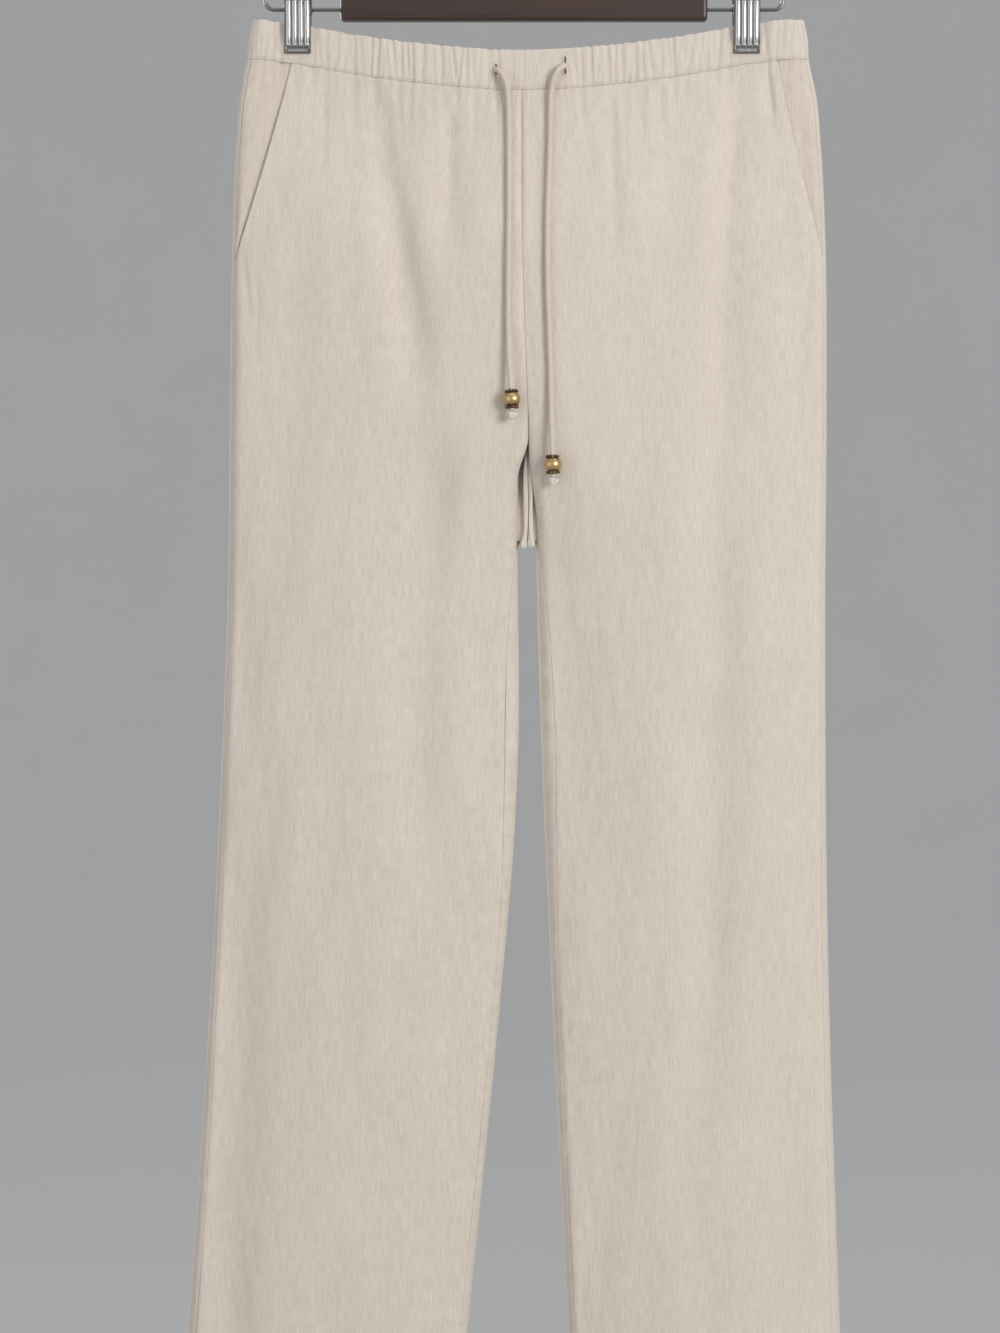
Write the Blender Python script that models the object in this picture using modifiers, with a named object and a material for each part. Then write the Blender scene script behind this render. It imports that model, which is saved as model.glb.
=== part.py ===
"""Linen drawstring trousers hanging from a wooden clip hanger.

The frame is +Z up, with the front of the garment towards -Y and the wearer's left towards +X.
The origin is the inside top of the hanger's hook, where it sits on a rail.
Sizes below are in millimetres, and objects are made in metres. A drop is a distance down the cloth
from the top of the waistband at its sides.
"""

from collections import namedtuple
import math

import bmesh
import bpy
import numpy as np
from mathutils import Matrix, Vector

MM = 0.001
RIGHT, LEFT = -1, 1  # the wearer's right is towards -X

# Cloth walls, and the gap between pieces that are sewn together.
CLOTH_WALL = 1.6
BAND_WALL = 2.6
GAP = 0.3

# The hanger: a wooden bar on a hook, with a wire loop at each end that a clip slides along.
HOOK_INNER_RADIUS = 18.0
HOOK_WIRE_RADIUS = 2.0
HOOK_TO_BAR = 64.0
BAR_LENGTH = 293.0
BAR_HEIGHT = 38.0
BAR_THICKNESS = 13.0
BAR_ROUNDING = 3.0
SOCKET_DEPTH = 12.0
LOOP_WIRE_RADIUS = 1.6
LOOP_REACH = 207.0
LOOP_RISE = 22.0
LOOP_BEND = 7.0
CLIP_X = {RIGHT: -180.7, LEFT: 177.7}
CLIP_WIDTH = 21.0

# The garment hangs with its waistband level with the bar's underside.
WAIST_TOP = -(HOOK_TO_BAR + BAR_HEIGHT) + 1.0
WIRE_ABOVE_WAIST = 8.4
BAND_HEIGHT = 32.0
POCKET_END = 192.0
FORK = 334.0  # where the two fronts part
CROTCH = 422.0  # where the inseams meet the crotch seam
HEM = 1122.0

# The outside of each leg, from the waistband to the hem.
Outer = namedtuple("Outer", "drop right left")
OUTER = (
    Outer(0, -217, 224),
    Outer(16, -220, 227),
    Outer(32, -222, 228),
    Outer(62, -227, 234),
    Outer(102, -230.5, 237.5),
    Outer(174, -233, 241),
    Outer(302, -235, 242),
    Outer(462, -237, 241),
    Outer(622, -243, 241.5),
    Outer(782, -251, 244),
    Outer(942, -261, 249),
    Outer(1122, -274.5, 255.5),
)
# The inside of each leg, below the fork.
Inner = namedtuple("Inner", "drop right left")
INNER = (
    Inner(334, -4.8, 9.4),
    Inner(430, -5, 10),
    Inner(582, -4.6, 14),
    Inner(662, -8.4, 17.2),
    Inner(782, -18.8, 22.4),
    Inner(942, -34.4, 30),
    Inner(1122, -53, 38),
)
# The centre front and back seams, which swing a little to the wearer's left on the way down.
Centre = namedtuple("Centre", "drop x")
CENTRE = (Centre(0, -1.6), Centre(160, -1.6), Centre(260, 1), Centre(334, 3.4), Centre(422, 3.4))

# Half the garment's thickness near its side folds and at its middle.
Depth = namedtuple("Depth", "drop side middle")
DEPTH = (
    Depth(32, 5.5, 11),
    Depth(90, 8, 17),
    Depth(160, 9.5, 22),
    Depth(260, 10.5, 25),
    Depth(420, 10.5, 25),
    Depth(620, 10.5, 23.5),
    Depth(860, 10.5, 22.5),
    Depth(1122, 11.5, 24),
)
EDGE_ROUND = 10.0  # how far in from a fold the cloth is rounded
BAND_PINCHED = 3.9  # half the thickness of the waistband inside a clip
BAND_SIDE = 5.5
BAND_MIDDLE = 10.0
BAND_SAG = 22.0  # how far the waistband's middle hangs below its edge at the clips
CLIP_SAG = 3.2  # how far its edge at the clips is below its corners

# How far the side seam and the inseam lie in front of the fold, as the back panels are the wider.
SeamInset = namedtuple("SeamInset", "drop side inseam")
SEAM_INSET = (
    SeamInset(0, 3, 0.6),
    SeamInset(422, 3.6, 0.6),
    SeamInset(450, 3.8, 4.5),
    SeamInset(782, 5.5, 5.2),
    SeamInset(1122, 8.5, 6),
)

# The slanted pocket edges run straight from the waistband to the side seam.
Pocket = namedtuple("Pocket", "top_x end_x")
POCKETS = {RIGHT: Pocket(-185.6, -230.2), LEFT: Pocket(202.0, 239.0)}
POCKET_OVERLAP = 11.0
POCKET_TAIL = 9.0  # how far the pocket facing runs on below the pocket's end
FACING_SLACK = 1.4  # how much deeper the facing hangs, under the front, below the waistband
FACING_TUCK_OPEN = 0.5
FACING_RISE = 16.0  # how far out from the slanted edge it comes up to that

# The largest folds: soft troughs that take a share of the cloth's depth along a line.
Fold = namedtuple("Fold", "face top top_x end end_x width share")
FOLDS = (
    Fold("front", 30, 171, 420, 156, 17, 0.30),
    Fold("front", 330, 158, 1010, 138, 24, 0.23),
    Fold("front", 40, -118, 320, -76, 20, 0.27),
    Fold("front", 300, -78, 760, -92, 26, 0.22),
    Fold("front", 50, -58, 200, -60, 14, 0.16),
    Fold("front", 640, -228, 1180, -246, 24, 0.19),
    Fold("back", 30, 168, 520, 150, 20, 0.27),
    Fold("back", 40, 96, 300, 84, 18, 0.22),
    Fold("back", 40, -104, 380, -90, 20, 0.24),
    Fold("back", 30, -172, 560, -160, 20, 0.27),
    Fold("back", 420, 118, 1000, 140, 28, 0.22),
    Fold("back", 450, -120, 1040, -150, 28, 0.22),
)

# The drawstring: one free end from each buttonhole, through a bead to a knot. Each route is in x,
# distance below the waistband's top corner, and lift off the cloth.
CORD_RADIUS = 2.25
Route = namedtuple("Route", "x below lift")
CORD_ROUTES = {
    RIGHT: (
        Route(-22.4, 41.0, -1.0),
        Route(-21.1, 42.0, 2.8),
        Route(-17.6, 45.8, 5.6),
        Route(-14.4, 53.0, 5.6),
        Route(-13.0, 62.0, 4.4),
        Route(-12.4, 76.0, 3.1),
        Route(-12.0, 102.0, 2.8),
        Route(-12.0, 142.0, 2.8),
        Route(-12.4, 182.0, 2.8),
        Route(-12.8, 222.0, 2.9),
        Route(-12.6, 254.0, 3.8),
        Route(-11.6, 280.0, 6.2),
        Route(-10.4, 296.0, 8.0),
        Route(-9.8, 306.0, 8.8),
        Route(-9.6, 315.0, 9.2),
    ),
    LEFT: (
        Route(32.6, 38.0, -1.0),
        Route(31.3, 39.0, 2.8),
        Route(27.4, 42.4, 5.6),
        Route(23.8, 49.4, 5.6),
        Route(21.8, 58.6, 4.4),
        Route(20.9, 74.0, 3.1),
        Route(20.6, 98.0, 2.8),
        Route(19.6, 128.0, 2.8),
        Route(18.6, 160.0, 2.8),
        Route(18.4, 192.0, 2.8),
        Route(18.9, 224.0, 2.8),
        Route(20.0, 256.0, 2.9),
        Route(20.9, 288.0, 3.0),
        Route(21.3, 316.0, 4.6),
        Route(21.9, 338.0, 7.2),
        Route(22.5, 356.0, 8.6),
        Route(23.0, 367.0, 9.0),
    ),
}
CORD_POINT_SPACING = 9.0
BEAD_BELOW = {RIGHT: 305.6, LEFT: 357.4}
BEAD_RADIUS = 7.0
BEAD_HEIGHT = 15.0
BEAD_BORE = CORD_RADIUS + 0.7
KNOT_RADIUS = 4.3
KNOT_FLATNESS = 0.85
BUTTONHOLE_WIDTH = 7.4
BUTTONHOLE_HEIGHT = 17.0

# The crotch extensions, which hang in the fork as two thin rolls: x, distance below the waistband's
# top corner, y, and the roll's radius.
Roll = namedtuple("Roll", "x below y radius")
CROTCH_ROLLS = {
    RIGHT: (
        Roll(1.5, 328, -6.6, 1.7),
        Roll(1.3, 350, -7.6, 1.75),
        Roll(1.2, 375, -8.4, 1.8),
        Roll(1.3, 398, -8.8, 1.75),
        Roll(0.9, 410, -8.8, 1.8),
        Roll(0.1, 416, -8.8, 2.1),
        Roll(-0.4, 420, -8.8, 2.6),
        Roll(-0.5, 423, -8.8, 1.7),
    ),
    LEFT: (
        Roll(5.2, 328, -6.6, 1.7),
        Roll(5.2, 350, -7.6, 1.75),
        Roll(5.2, 375, -8.4, 1.8),
        Roll(5.3, 398, -8.8, 1.75),
        Roll(5.4, 410, -8.8, 1.8),
        Roll(5.6, 416, -8.8, 2.1),
        Roll(5.8, 419, -8.8, 2.6),
        Roll(5.8, 422, -8.8, 1.7),
    ),
}

# The side view of a clip's jaw: distance out from the cloth's middle plane, and height above the
# waistband's top corner, up its inner side. The jaw grips at the bottom and spreads at the top.
Jaw = namedtuple("Jaw", "out height")
JAW_LINE = (
    Jaw(4.2, -27.5),
    Jaw(4.2, -21),
    Jaw(6.2, -14),
    Jaw(7.5, 0),
    Jaw(8.1, 8),
    Jaw(9.4, 14),
    Jaw(11.8, 22),
)
JAW_WALL = 1.4
# Four ribs run down the front of each jaw to a plain lip.
RIB_SPACING = 4.85
RIB_HALF_WIDTH = 2.0
RIB_HEIGHT = 1.3
RIB_BOTTOM = -22.5
RIB_TOP = 14.5
RIB_END = 1.6
RIB_COLUMNS = 6
SPRING_RADIUS = 4.6
SPRING_LENGTH = 15.0

# The heights of the panels' sections, closest where the shape changes fastest.
PANEL_DROPS = (
    BAND_HEIGHT + GAP, 48, 68, 95, 128, 160, POCKET_END, 225, 262, 300, FORK,
    342, 354, 380, 404, 415, CROTCH, 432, 450, 495, 565, 650, 740, 830, 920, 1020, HEM,
)
FRONT_COLUMNS = 13
BACK_COLUMNS = 16
FACING_COLUMNS = 6
BAND_COLUMNS = 94
DENSE = 160  # points along a section before it is resampled

LINEN = ("linen", (0.62, 0.54, 0.46), 0.9, 0.0)
LINEN_SHADE = ("linen_facing", (0.60, 0.52, 0.44), 0.9, 0.0)
CORD_CLOTH = ("cord_cloth", (0.66, 0.58, 0.49), 0.85, 0.0)
BRASS = ("antique_brass", (0.42, 0.30, 0.13), 0.35, 1.0)
WALNUT = ("dark_wood", (0.055, 0.028, 0.020), 0.4, 0.0)
STEEL = ("nickel_steel", (0.72, 0.72, 0.72), 0.22, 1.0)


def step(low, high, value):
    """0 below low and 1 above high, with a smooth rise between."""
    t = np.clip((value - low) / (high - low), 0.0, 1.0)
    return t * t * (3 - 2 * t)


def along(table, column, drop):
    """A table's column at a drop, on a smooth curve through its rows."""
    xs = np.array([row.drop for row in table], float)
    ys = np.array([getattr(row, column) for row in table], float)
    slopes = np.gradient(ys, xs)
    drop = np.clip(drop, xs[0], xs[-1])
    k = np.clip(np.searchsorted(xs, drop) - 1, 0, len(xs) - 2)
    span = xs[k + 1] - xs[k]
    t = (drop - xs[k]) / span
    start = (1 + 2 * t) * (1 - t) ** 2 * ys[k] + t * (1 - t) ** 2 * span * slopes[k]
    end = t * t * (3 - 2 * t) * ys[k + 1] + t * t * (t - 1) * span * slopes[k + 1]
    return start + end


def sag(x):
    """How far the waistband's top edge at x is below its corners."""
    middle = (CLIP_X[LEFT] + CLIP_X[RIGHT]) / 2
    half = (CLIP_X[LEFT] - CLIP_X[RIGHT]) / 2
    away = np.abs(np.asarray(x, float) - middle) / half
    between = CLIP_SAG + BAND_SAG * (1 - np.minimum(away, 1.0) ** 1.7)
    return between - CLIP_SAG * step(1.0, 1.18, away)


def height(x, drop):
    """The height of a point of the cloth. The sag of the waistband fades out down the hips."""
    return WAIST_TOP - drop - sag(x) * (1 - step(BAND_HEIGHT, 300, drop))


def drop_at(x, below):
    """The drop of the cloth at x, at a distance below the waistband's top corner."""
    drop = below
    for _ in range(12):
        drop = below - float(sag(x) * (1 - step(BAND_HEIGHT, 300, drop)))
    return drop


def outer_x(side, drop):
    """x of a leg's outer fold."""
    return float(along(OUTER, "left" if side == LEFT else "right", drop))


def inner_x(side, face, drop):
    """x of a panel's inner edge: the centre seam, and then the inner fold of the leg."""
    seam = float(along(CENTRE, "x", drop)) + side * GAP / 2
    fold = float(along(INNER, "left" if side == LEFT else "right", drop))
    parting = step(FORK, FORK + 12, drop) if face == "front" else step(CROTCH - 16, CROTCH, drop)
    return float(seam + (fold - seam) * parting)


def rounded(distance):
    """How far the cloth has opened at a distance in from a fold, from 0 at the fold to 1."""
    return np.sqrt(1 - (1 - np.clip(distance / EDGE_ROUND, 0, 1)) ** 2)


def band_depth(x):
    """Half the waistband's thickness at x: flat in the clips, open between them."""
    to_clip = np.minimum(np.abs(x - CLIP_X[LEFT]), np.abs(x - CLIP_X[RIGHT]))
    between = (x > CLIP_X[RIGHT]) & (x < CLIP_X[LEFT])
    open_middle = (BAND_MIDDLE - BAND_PINCHED) * step(13, 130, to_clip)
    open_side = (BAND_SIDE - BAND_PINCHED) * step(12, 26, to_clip)
    return BAND_PINCHED + np.where(between, open_middle, open_side)


def fold_share(face, drop, x):
    """What the folds leave of the cloth's depth at x."""
    left_over = np.ones_like(x)
    for fold in FOLDS:
        if fold.face == face:
            way = (drop - fold.top) / (fold.end - fold.top)
            strength = float(step(0.0, 0.15, way) * (1 - step(0.6, 1.0, way)))
            line_x = fold.top_x + (fold.end_x - fold.top_x) * way
            left_over -= fold.share * strength * np.exp(-(((x - line_x) / fold.width) ** 2))
    return left_over


def depth(side, face, drop, x):
    """Half the garment's thickness at x, without its sign."""
    outer, inner = outer_x(side, drop), inner_x(side, face, drop)
    legs = float(step(260, 460, drop))
    crest = inner + (outer - inner) * 0.5 * legs
    out_share = np.clip((x - crest) / (outer - crest), 0, 1)
    in_share = legs * np.clip((crest - x) / (crest - inner + side * 1e-6), 0, 1)
    edge_depth, middle_depth = along(DEPTH, "side", drop), along(DEPTH, "middle", drop)
    body = edge_depth + (middle_depth - edge_depth) * (1 - np.maximum(out_share, in_share) ** 2)
    from_band = float(step(BAND_HEIGHT, 170, drop))
    whole = band_depth(x) * (1 - from_band) + body * from_band
    if face == "front":
        open_inside = 1 - 0.4 * step(290, FORK, drop) - 0.6 * step(FORK, CROTCH + 6, drop)
    else:
        open_inside = 1 - step(340, CROTCH + 6, drop)
    inside = open_inside + (1 - open_inside) * rounded(np.abs(x - inner))
    return whole * rounded(np.abs(outer - x)) * inside * fold_share(face, drop, x)


def face_line(side, face, drop, start_x, end_x):
    """Points (x, y) across a face from start_x to end_x, closest together at its folds."""
    outer, inner = outer_x(side, drop), inner_x(side, face, drop)
    middle, half = (outer + inner) / 2, (outer - inner) / 2
    start, end = (math.acos(max(-1.0, min(1.0, (x - middle) / half))) for x in (start_x, end_x))
    x = middle + half * np.cos(np.linspace(start, end, DENSE))
    y = depth(side, face, drop, x)
    return np.column_stack([x, -y if face == "front" else y])


def front_line(side, drop):
    """A front panel's outside, from its side seam or pocket edge to its inner edge."""
    start = outer_x(side, drop) - side * (along(SEAM_INSET, "side", drop) + GAP / 2)
    if drop <= POCKET_END:
        start = min(start, pocket_x(side, drop), key=lambda x: x * side)
    inset = along(SEAM_INSET, "inseam", drop) * step(CROTCH - 4, CROTCH + 10, drop)
    end = inner_x(side, "front", drop) + side * inset
    return face_line(side, "front", drop, start, end)


def back_line(side, drop):
    """A back panel's outside, from its side seam round the fold, across, and round to the inseam."""
    outer = outer_x(side, drop)
    seam = outer - side * (along(SEAM_INSET, "side", drop) - GAP / 2)
    inner = inner_x(side, "back", drop)
    lines = [
        face_line(side, "front", drop, seam, outer),
        face_line(side, "back", drop, outer, inner)[1:],
    ]
    inset = (along(SEAM_INSET, "inseam", drop) - GAP) * step(CROTCH - 4, CROTCH + 10, drop)
    if inset > 0:
        lines.append(face_line(side, "front", drop, inner, inner + side * inset)[1:])
    return np.concatenate(lines)


def pocket_x(side, drop):
    """x of the slanted pocket edge."""
    pocket = POCKETS[side]
    way = (drop - BAND_HEIGHT) / (POCKET_END - BAND_HEIGHT)
    return pocket.top_x + (pocket.end_x - pocket.top_x) * way


def outward(line, sign):
    """The unit normals of a line of points, towards the outside of the garment."""
    tangent = np.gradient(line, axis=0)
    tangent /= np.linalg.norm(tangent, axis=1)[:, None]
    return sign * np.column_stack([-tangent[:, 1], tangent[:, 0]])


def resample(line, normals, shares):
    """The line and its normals at shares of its length."""
    lengths = np.concatenate([[0], np.cumsum(np.linalg.norm(np.diff(line, axis=0), axis=1))])
    at = shares * lengths[-1]
    points = np.column_stack([np.interp(at, lengths, line[:, k]) for k in range(2)])
    turned = np.column_stack([np.interp(at, lengths, normals[:, k]) for k in range(2)])
    return points, turned / np.linalg.norm(turned, axis=1)[:, None]


def shares_of(columns):
    """Shares of a section's length, closer together near its two ends."""
    t = np.linspace(0, 1, columns + 1)
    return t - 0.105 * np.sin(2 * np.pi * t)


def wall_section(line, normals, drop, wall, tuck=0.0):
    """One section of a wall: its outside, and then its inside on the way back."""
    rows = []
    for inset in (tuck, tuck + wall):
        points = line - normals * np.reshape(inset, (-1, 1))
        rows.append(np.column_stack([points, height(line[:, 0], drop)]))
    return np.concatenate([rows[0], rows[1][::-1]])


def material(name, colour, roughness, metallic):
    """A Principled material, made once."""
    found = bpy.data.materials.get(name)
    if found:
        return found
    made = bpy.data.materials.new(name)
    made.use_nodes = True
    shader = made.node_tree.nodes["Principled BSDF"]
    shader.inputs["Base Color"].default_value = (*colour, 1)
    shader.inputs["Roughness"].default_value = roughness
    shader.inputs["Metallic"].default_value = metallic
    made.diffuse_color = (*colour, 1)
    return made


def add_object(name, data, finish):
    obj = bpy.data.objects.new(name, data)
    data.materials.append(material(*finish))
    bpy.data.collections["trousers"].objects.link(obj)
    return obj


def add_loft(name, sections, finish):
    """A closed body through sections, each a wall's outside and then its inside."""
    bm = bmesh.new()
    rings = [[bm.verts.new(Vector(point) * MM) for point in section] for section in sections]
    count = len(rings[0])
    for above, below in zip(rings, rings[1:]):
        for i in range(count):
            j = (i + 1) % count
            bm.faces.new((above[i], above[j], below[j], below[i]))
    for ring in (rings[0], rings[-1]):
        for i in range(count // 2 - 1):
            bm.faces.new((ring[i], ring[i + 1], ring[count - 2 - i], ring[count - 1 - i]))
    bmesh.ops.recalc_face_normals(bm, faces=bm.faces)
    mesh = bpy.data.meshes.new(name)
    bm.to_mesh(mesh)
    bm.free()
    mesh.shade_smooth()
    mesh.set_sharp_from_angle(angle=math.radians(50))
    return add_object(name, mesh, finish)


def add_panel(name, side, face):
    """A front or back leg panel."""
    line_of, columns = (front_line, FRONT_COLUMNS) if face == "front" else (back_line, BACK_COLUMNS)
    sign = side if face == "front" else -side
    sections = []
    for drop in PANEL_DROPS:
        line = line_of(side, drop)
        points, normals = resample(line, outward(line, sign), shares_of(columns))
        sections.append(wall_section(points, normals, drop, CLOTH_WALL))
    return add_loft(name, sections, LINEN)


def add_pocket_facing(name, side):
    """The cloth that shows between the slanted pocket edge and the side seam."""
    drops = [drop for drop in PANEL_DROPS if drop <= POCKET_END] + [POCKET_END + POCKET_TAIL]
    sections = []
    for drop in drops:
        seam = outer_x(side, drop) - side * (along(SEAM_INSET, "side", drop) + GAP / 2)
        edge = pocket_x(side, drop)
        line = face_line(side, "front", drop, seam, edge - side * POCKET_OVERLAP)
        points, normals = resample(line, outward(line, side), np.linspace(0, 1, FACING_COLUMNS + 1))
        level = step(0, FACING_RISE, (points[:, 0] - edge) * side)
        under = CLOTH_WALL + GAP + FACING_SLACK * step(BAND_HEIGHT, 90, drop)
        tuck = under + (FACING_TUCK_OPEN - under) * level
        sections.append(wall_section(points, normals, drop, CLOTH_WALL, tuck))
    return add_loft(name, sections, LINEN_SHADE)


def gathers(x):
    """How far the gathered waistband stands out at x. It is smooth in the clips and at the front."""
    to_clip = np.minimum(np.abs(x - CLIP_X[LEFT]), np.abs(x - CLIP_X[RIGHT]))
    loose = step(12, 24, to_clip)
    phase = x / 13.5 + 0.5 * np.sin(x / 31.0) + 0.3 * np.sin(x / 11.3 + 1.0)
    return 0.55 * loose * np.sin(2 * np.pi * phase)


def add_band(name, face):
    """The front or back of the waistband, from one side seam to the other."""
    sections = []
    for drop in (0.0, BAND_HEIGHT / 2, BAND_HEIGHT):
        halves = []
        for side in (RIGHT, LEFT):
            if face == "front":
                seam = outer_x(side, drop) - side * (along(SEAM_INSET, "side", drop) + GAP / 2)
                half = face_line(side, "front", drop, seam, inner_x(side, "front", drop))
            else:
                half = back_line(side, drop)
            halves.append(half)
        line = np.concatenate([halves[0], halves[1][::-1]])
        sign = -1 if face == "front" else 1
        points, normals = resample(line, outward(line, sign), np.linspace(0, 1, BAND_COLUMNS + 1))
        ease = np.sin(np.pi * np.linspace(0, 1, BAND_COLUMNS + 1)) ** 0.1
        points = points + normals * (gathers(points[:, 0]) * ease)[:, None]
        sections.append(wall_section(points, normals, drop, BAND_WALL))
    return add_loft(name, sections, LINEN)


def cord_points(side):
    """The drawstring's centreline, in millimetres, read from a smooth curve through its route."""
    route = CORD_ROUTES[side]
    knots = []
    for point in route:
        surface = depth(side, "front", drop_at(point.x, point.below), np.array([point.x]))[0]
        knots.append((point.x, -surface - point.lift, WAIST_TOP - point.below))
    return spaced(smooth_curve(np.array(knots)), CORD_POINT_SPACING)


def smooth_curve(knots, steps=12):
    """A Catmull-Rom curve through the knots."""
    ends = np.concatenate([[2 * knots[0] - knots[1]], knots, [2 * knots[-1] - knots[-2]]])
    curve = [knots[0]]
    for a, b, c, d in zip(ends, ends[1:], ends[2:], ends[3:]):
        for t in np.linspace(0, 1, steps + 1)[1:]:
            curve.append(0.5 * (2 * b + (c - a) * t + (2 * a - 5 * b + 4 * c - d) * t**2
                                + (3 * b - a - 3 * c + d) * t**3))
    return np.array(curve)


def spaced(line, spacing):
    """The line with points about spacing apart."""
    lengths = np.concatenate([[0], np.cumsum(np.linalg.norm(np.diff(line, axis=0), axis=1))])
    at = np.linspace(0, lengths[-1], max(2, round(lengths[-1] / spacing) + 1))
    return np.column_stack([np.interp(at, lengths, line[:, k]) for k in range(3)])


def add_tube(name, points, radius, finish, radii=None, resolution=2):
    """A round tube along points given in millimetres."""
    data = bpy.data.curves.new(name, "CURVE")
    data.dimensions = "3D"
    data.bevel_depth = radius * MM
    data.bevel_resolution = resolution
    data.use_fill_caps = True
    spline = data.splines.new("POLY")
    spline.points.add(len(points) - 1)
    for i, point in enumerate(points):
        spline.points[i].co = (*(float(value) * MM for value in point), 1)
        spline.points[i].radius = radii[i] / radius if radii else 1.0
    spline.use_smooth = True
    return add_object(name, data, finish)


def add_turned(name, profile, steps, finish):
    """A body turned about Z, from (radius, height) pairs in millimetres that form a closed ring."""
    bm = bmesh.new()
    verts = [bm.verts.new((radius * MM, 0, z * MM)) for radius, z in profile]
    for i in range(len(verts)):
        bm.edges.new((verts[i], verts[(i + 1) % len(verts)]))
    mesh = bpy.data.meshes.new(name)
    bm.to_mesh(mesh)
    bm.free()
    obj = add_object(name, mesh, finish)
    screw = obj.modifiers.new("turn", "SCREW")
    screw.steps = screw.render_steps = steps
    screw.use_merge_vertices = True
    screw.merge_threshold = 0.00001
    screw.use_smooth_shade = True
    return obj


def place_on(obj, line, at_height):
    """Puts a turned body on a cord's centreline at a height, in line with it."""
    top, bottom = (
        Vector(line[int(np.argmin(np.abs(line[:, 2] - (at_height + end))))])
        for end in (BEAD_HEIGHT / 2, -BEAD_HEIGHT / 2)
    )
    obj.location = (top + bottom) / 2 * MM
    way = (top - bottom).normalized()
    obj.rotation_euler = way.to_track_quat("Z", "Y").to_euler()


def bead_profile():
    """A barrel bead with a raised collar at each end, on an open bore, top to bottom."""
    half = BEAD_HEIGHT / 2
    collar = 1.6
    widest = math.radians(52)
    barrel = []
    for angle in np.linspace(widest, -widest, 9):
        z = (half - collar) * math.sin(angle) / math.sin(widest)
        barrel.append((BEAD_RADIUS * math.cos(angle), z))
    rim = BEAD_RADIUS * 0.66
    top = [(BEAD_BORE, half), (rim, half), (rim + 0.3, half - 0.8), (rim, half - collar + 0.1)]
    bottom = [(radius, -z) for radius, z in reversed(top)]
    return top + barrel + bottom


def add_knot(name, place):
    """A round stopper knot, a little flattened."""
    bm = bmesh.new()
    bmesh.ops.create_uvsphere(bm, u_segments=16, v_segments=10, radius=KNOT_RADIUS * MM)
    bmesh.ops.scale(bm, vec=(1, 1, KNOT_FLATNESS), verts=bm.verts)
    mesh = bpy.data.meshes.new(name)
    bm.to_mesh(mesh)
    bm.free()
    mesh.shade_smooth()
    add_object(name, mesh, CORD_CLOTH).location = Vector(place) * MM


def add_drawstring(side, name):
    """One free end of the drawstring, with its bead and knot."""
    line = cord_points(side)
    add_tube(f"drawstring_{name}", line, CORD_RADIUS, CORD_CLOTH)
    fine = spaced(line, 1.0)
    bead = add_turned(f"bead_{name}", bead_profile(), 20, BRASS)
    place_on(bead, fine, WAIST_TOP - BEAD_BELOW[side])
    way = (line[-1] - line[-2]) / np.linalg.norm(line[-1] - line[-2])
    add_knot(f"knot_{name}", line[-1] + way * (KNOT_FLATNESS * KNOT_RADIUS + GAP))


def add_cutter(name, size, place):
    """A box that cuts another object, kept out of the model. Sizes are in millimetres."""
    bm = bmesh.new()
    bmesh.ops.create_cube(bm, size=1.0)
    bmesh.ops.scale(bm, vec=Vector(size) * MM, verts=bm.verts)
    mesh = bpy.data.meshes.new(name)
    bm.to_mesh(mesh)
    bm.free()
    return place_cutter(name, mesh, Vector(place) * MM)


def place_cutter(name, mesh, location):
    cutter = bpy.data.objects.new(name, mesh)
    cutter.location = location
    cutter.hide_render = True
    cutter.display_type = "WIRE"
    bpy.data.collections["cutters"].objects.link(cutter)
    return cutter


def add_drill(name, radius, length, start, way):
    """A round cutter from a point along a direction."""
    bm = bmesh.new()
    bmesh.ops.create_cone(
        bm, cap_ends=True, segments=16, radius1=radius * MM, radius2=radius * MM, depth=length * MM
    )
    mesh = bpy.data.meshes.new(name)
    bm.to_mesh(mesh)
    bm.free()
    way = Vector(way)
    drill = place_cutter(name, mesh, (Vector(start) + way * length / 2) * MM)
    drill.rotation_euler = way.to_track_quat("Z", "Y").to_euler()
    return drill


def cut(obj, cutter):
    boolean = obj.modifiers.new(cutter.name, "BOOLEAN")
    boolean.operation = "DIFFERENCE"
    boolean.object = cutter


def hook_line():
    """The hook: a stem, a short bend to one side, and an arc over the rail."""
    radius = HOOK_INNER_RADIUS + HOOK_WIRE_RADIUS
    lead = math.radians(65)
    bend = radius * math.cos(lead) / (1 - math.cos(lead))
    bend_base = -HOOK_INNER_RADIUS - radius * math.sin(lead) - bend * math.sin(lead)
    line = [(0, 0, -HOOK_TO_BAR - SOCKET_DEPTH), (0, 0, bend_base)]
    for angle in np.linspace(0, lead, 6)[1:]:
        line.append((bend * (1 - math.cos(angle)), 0, bend_base + bend * math.sin(angle)))
    for angle in np.radians(np.linspace(-65, 184, 22)[1:]):
        line.append((radius * math.cos(angle), 0, -HOOK_INNER_RADIUS + radius * math.sin(angle)))
    return line


def loop_line(side):
    """A wire loop out of one end of the bar and back into it."""
    low = WAIST_TOP + WIRE_ABOVE_WAIST
    high = low + LOOP_RISE
    start = BAR_LENGTH / 2 - SOCKET_DEPTH
    bends = []
    for centre_z, first in ((low + LOOP_BEND, -90), (high - LOOP_BEND, 0)):
        for angle in np.radians(np.linspace(first, first + 90, 5)):
            x = LOOP_REACH - LOOP_BEND + LOOP_BEND * math.cos(angle)
            bends.append((side * x, 0, centre_z + LOOP_BEND * math.sin(angle)))
    return [(side * start, 0, low), *bends, (side * start, 0, high)]


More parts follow.
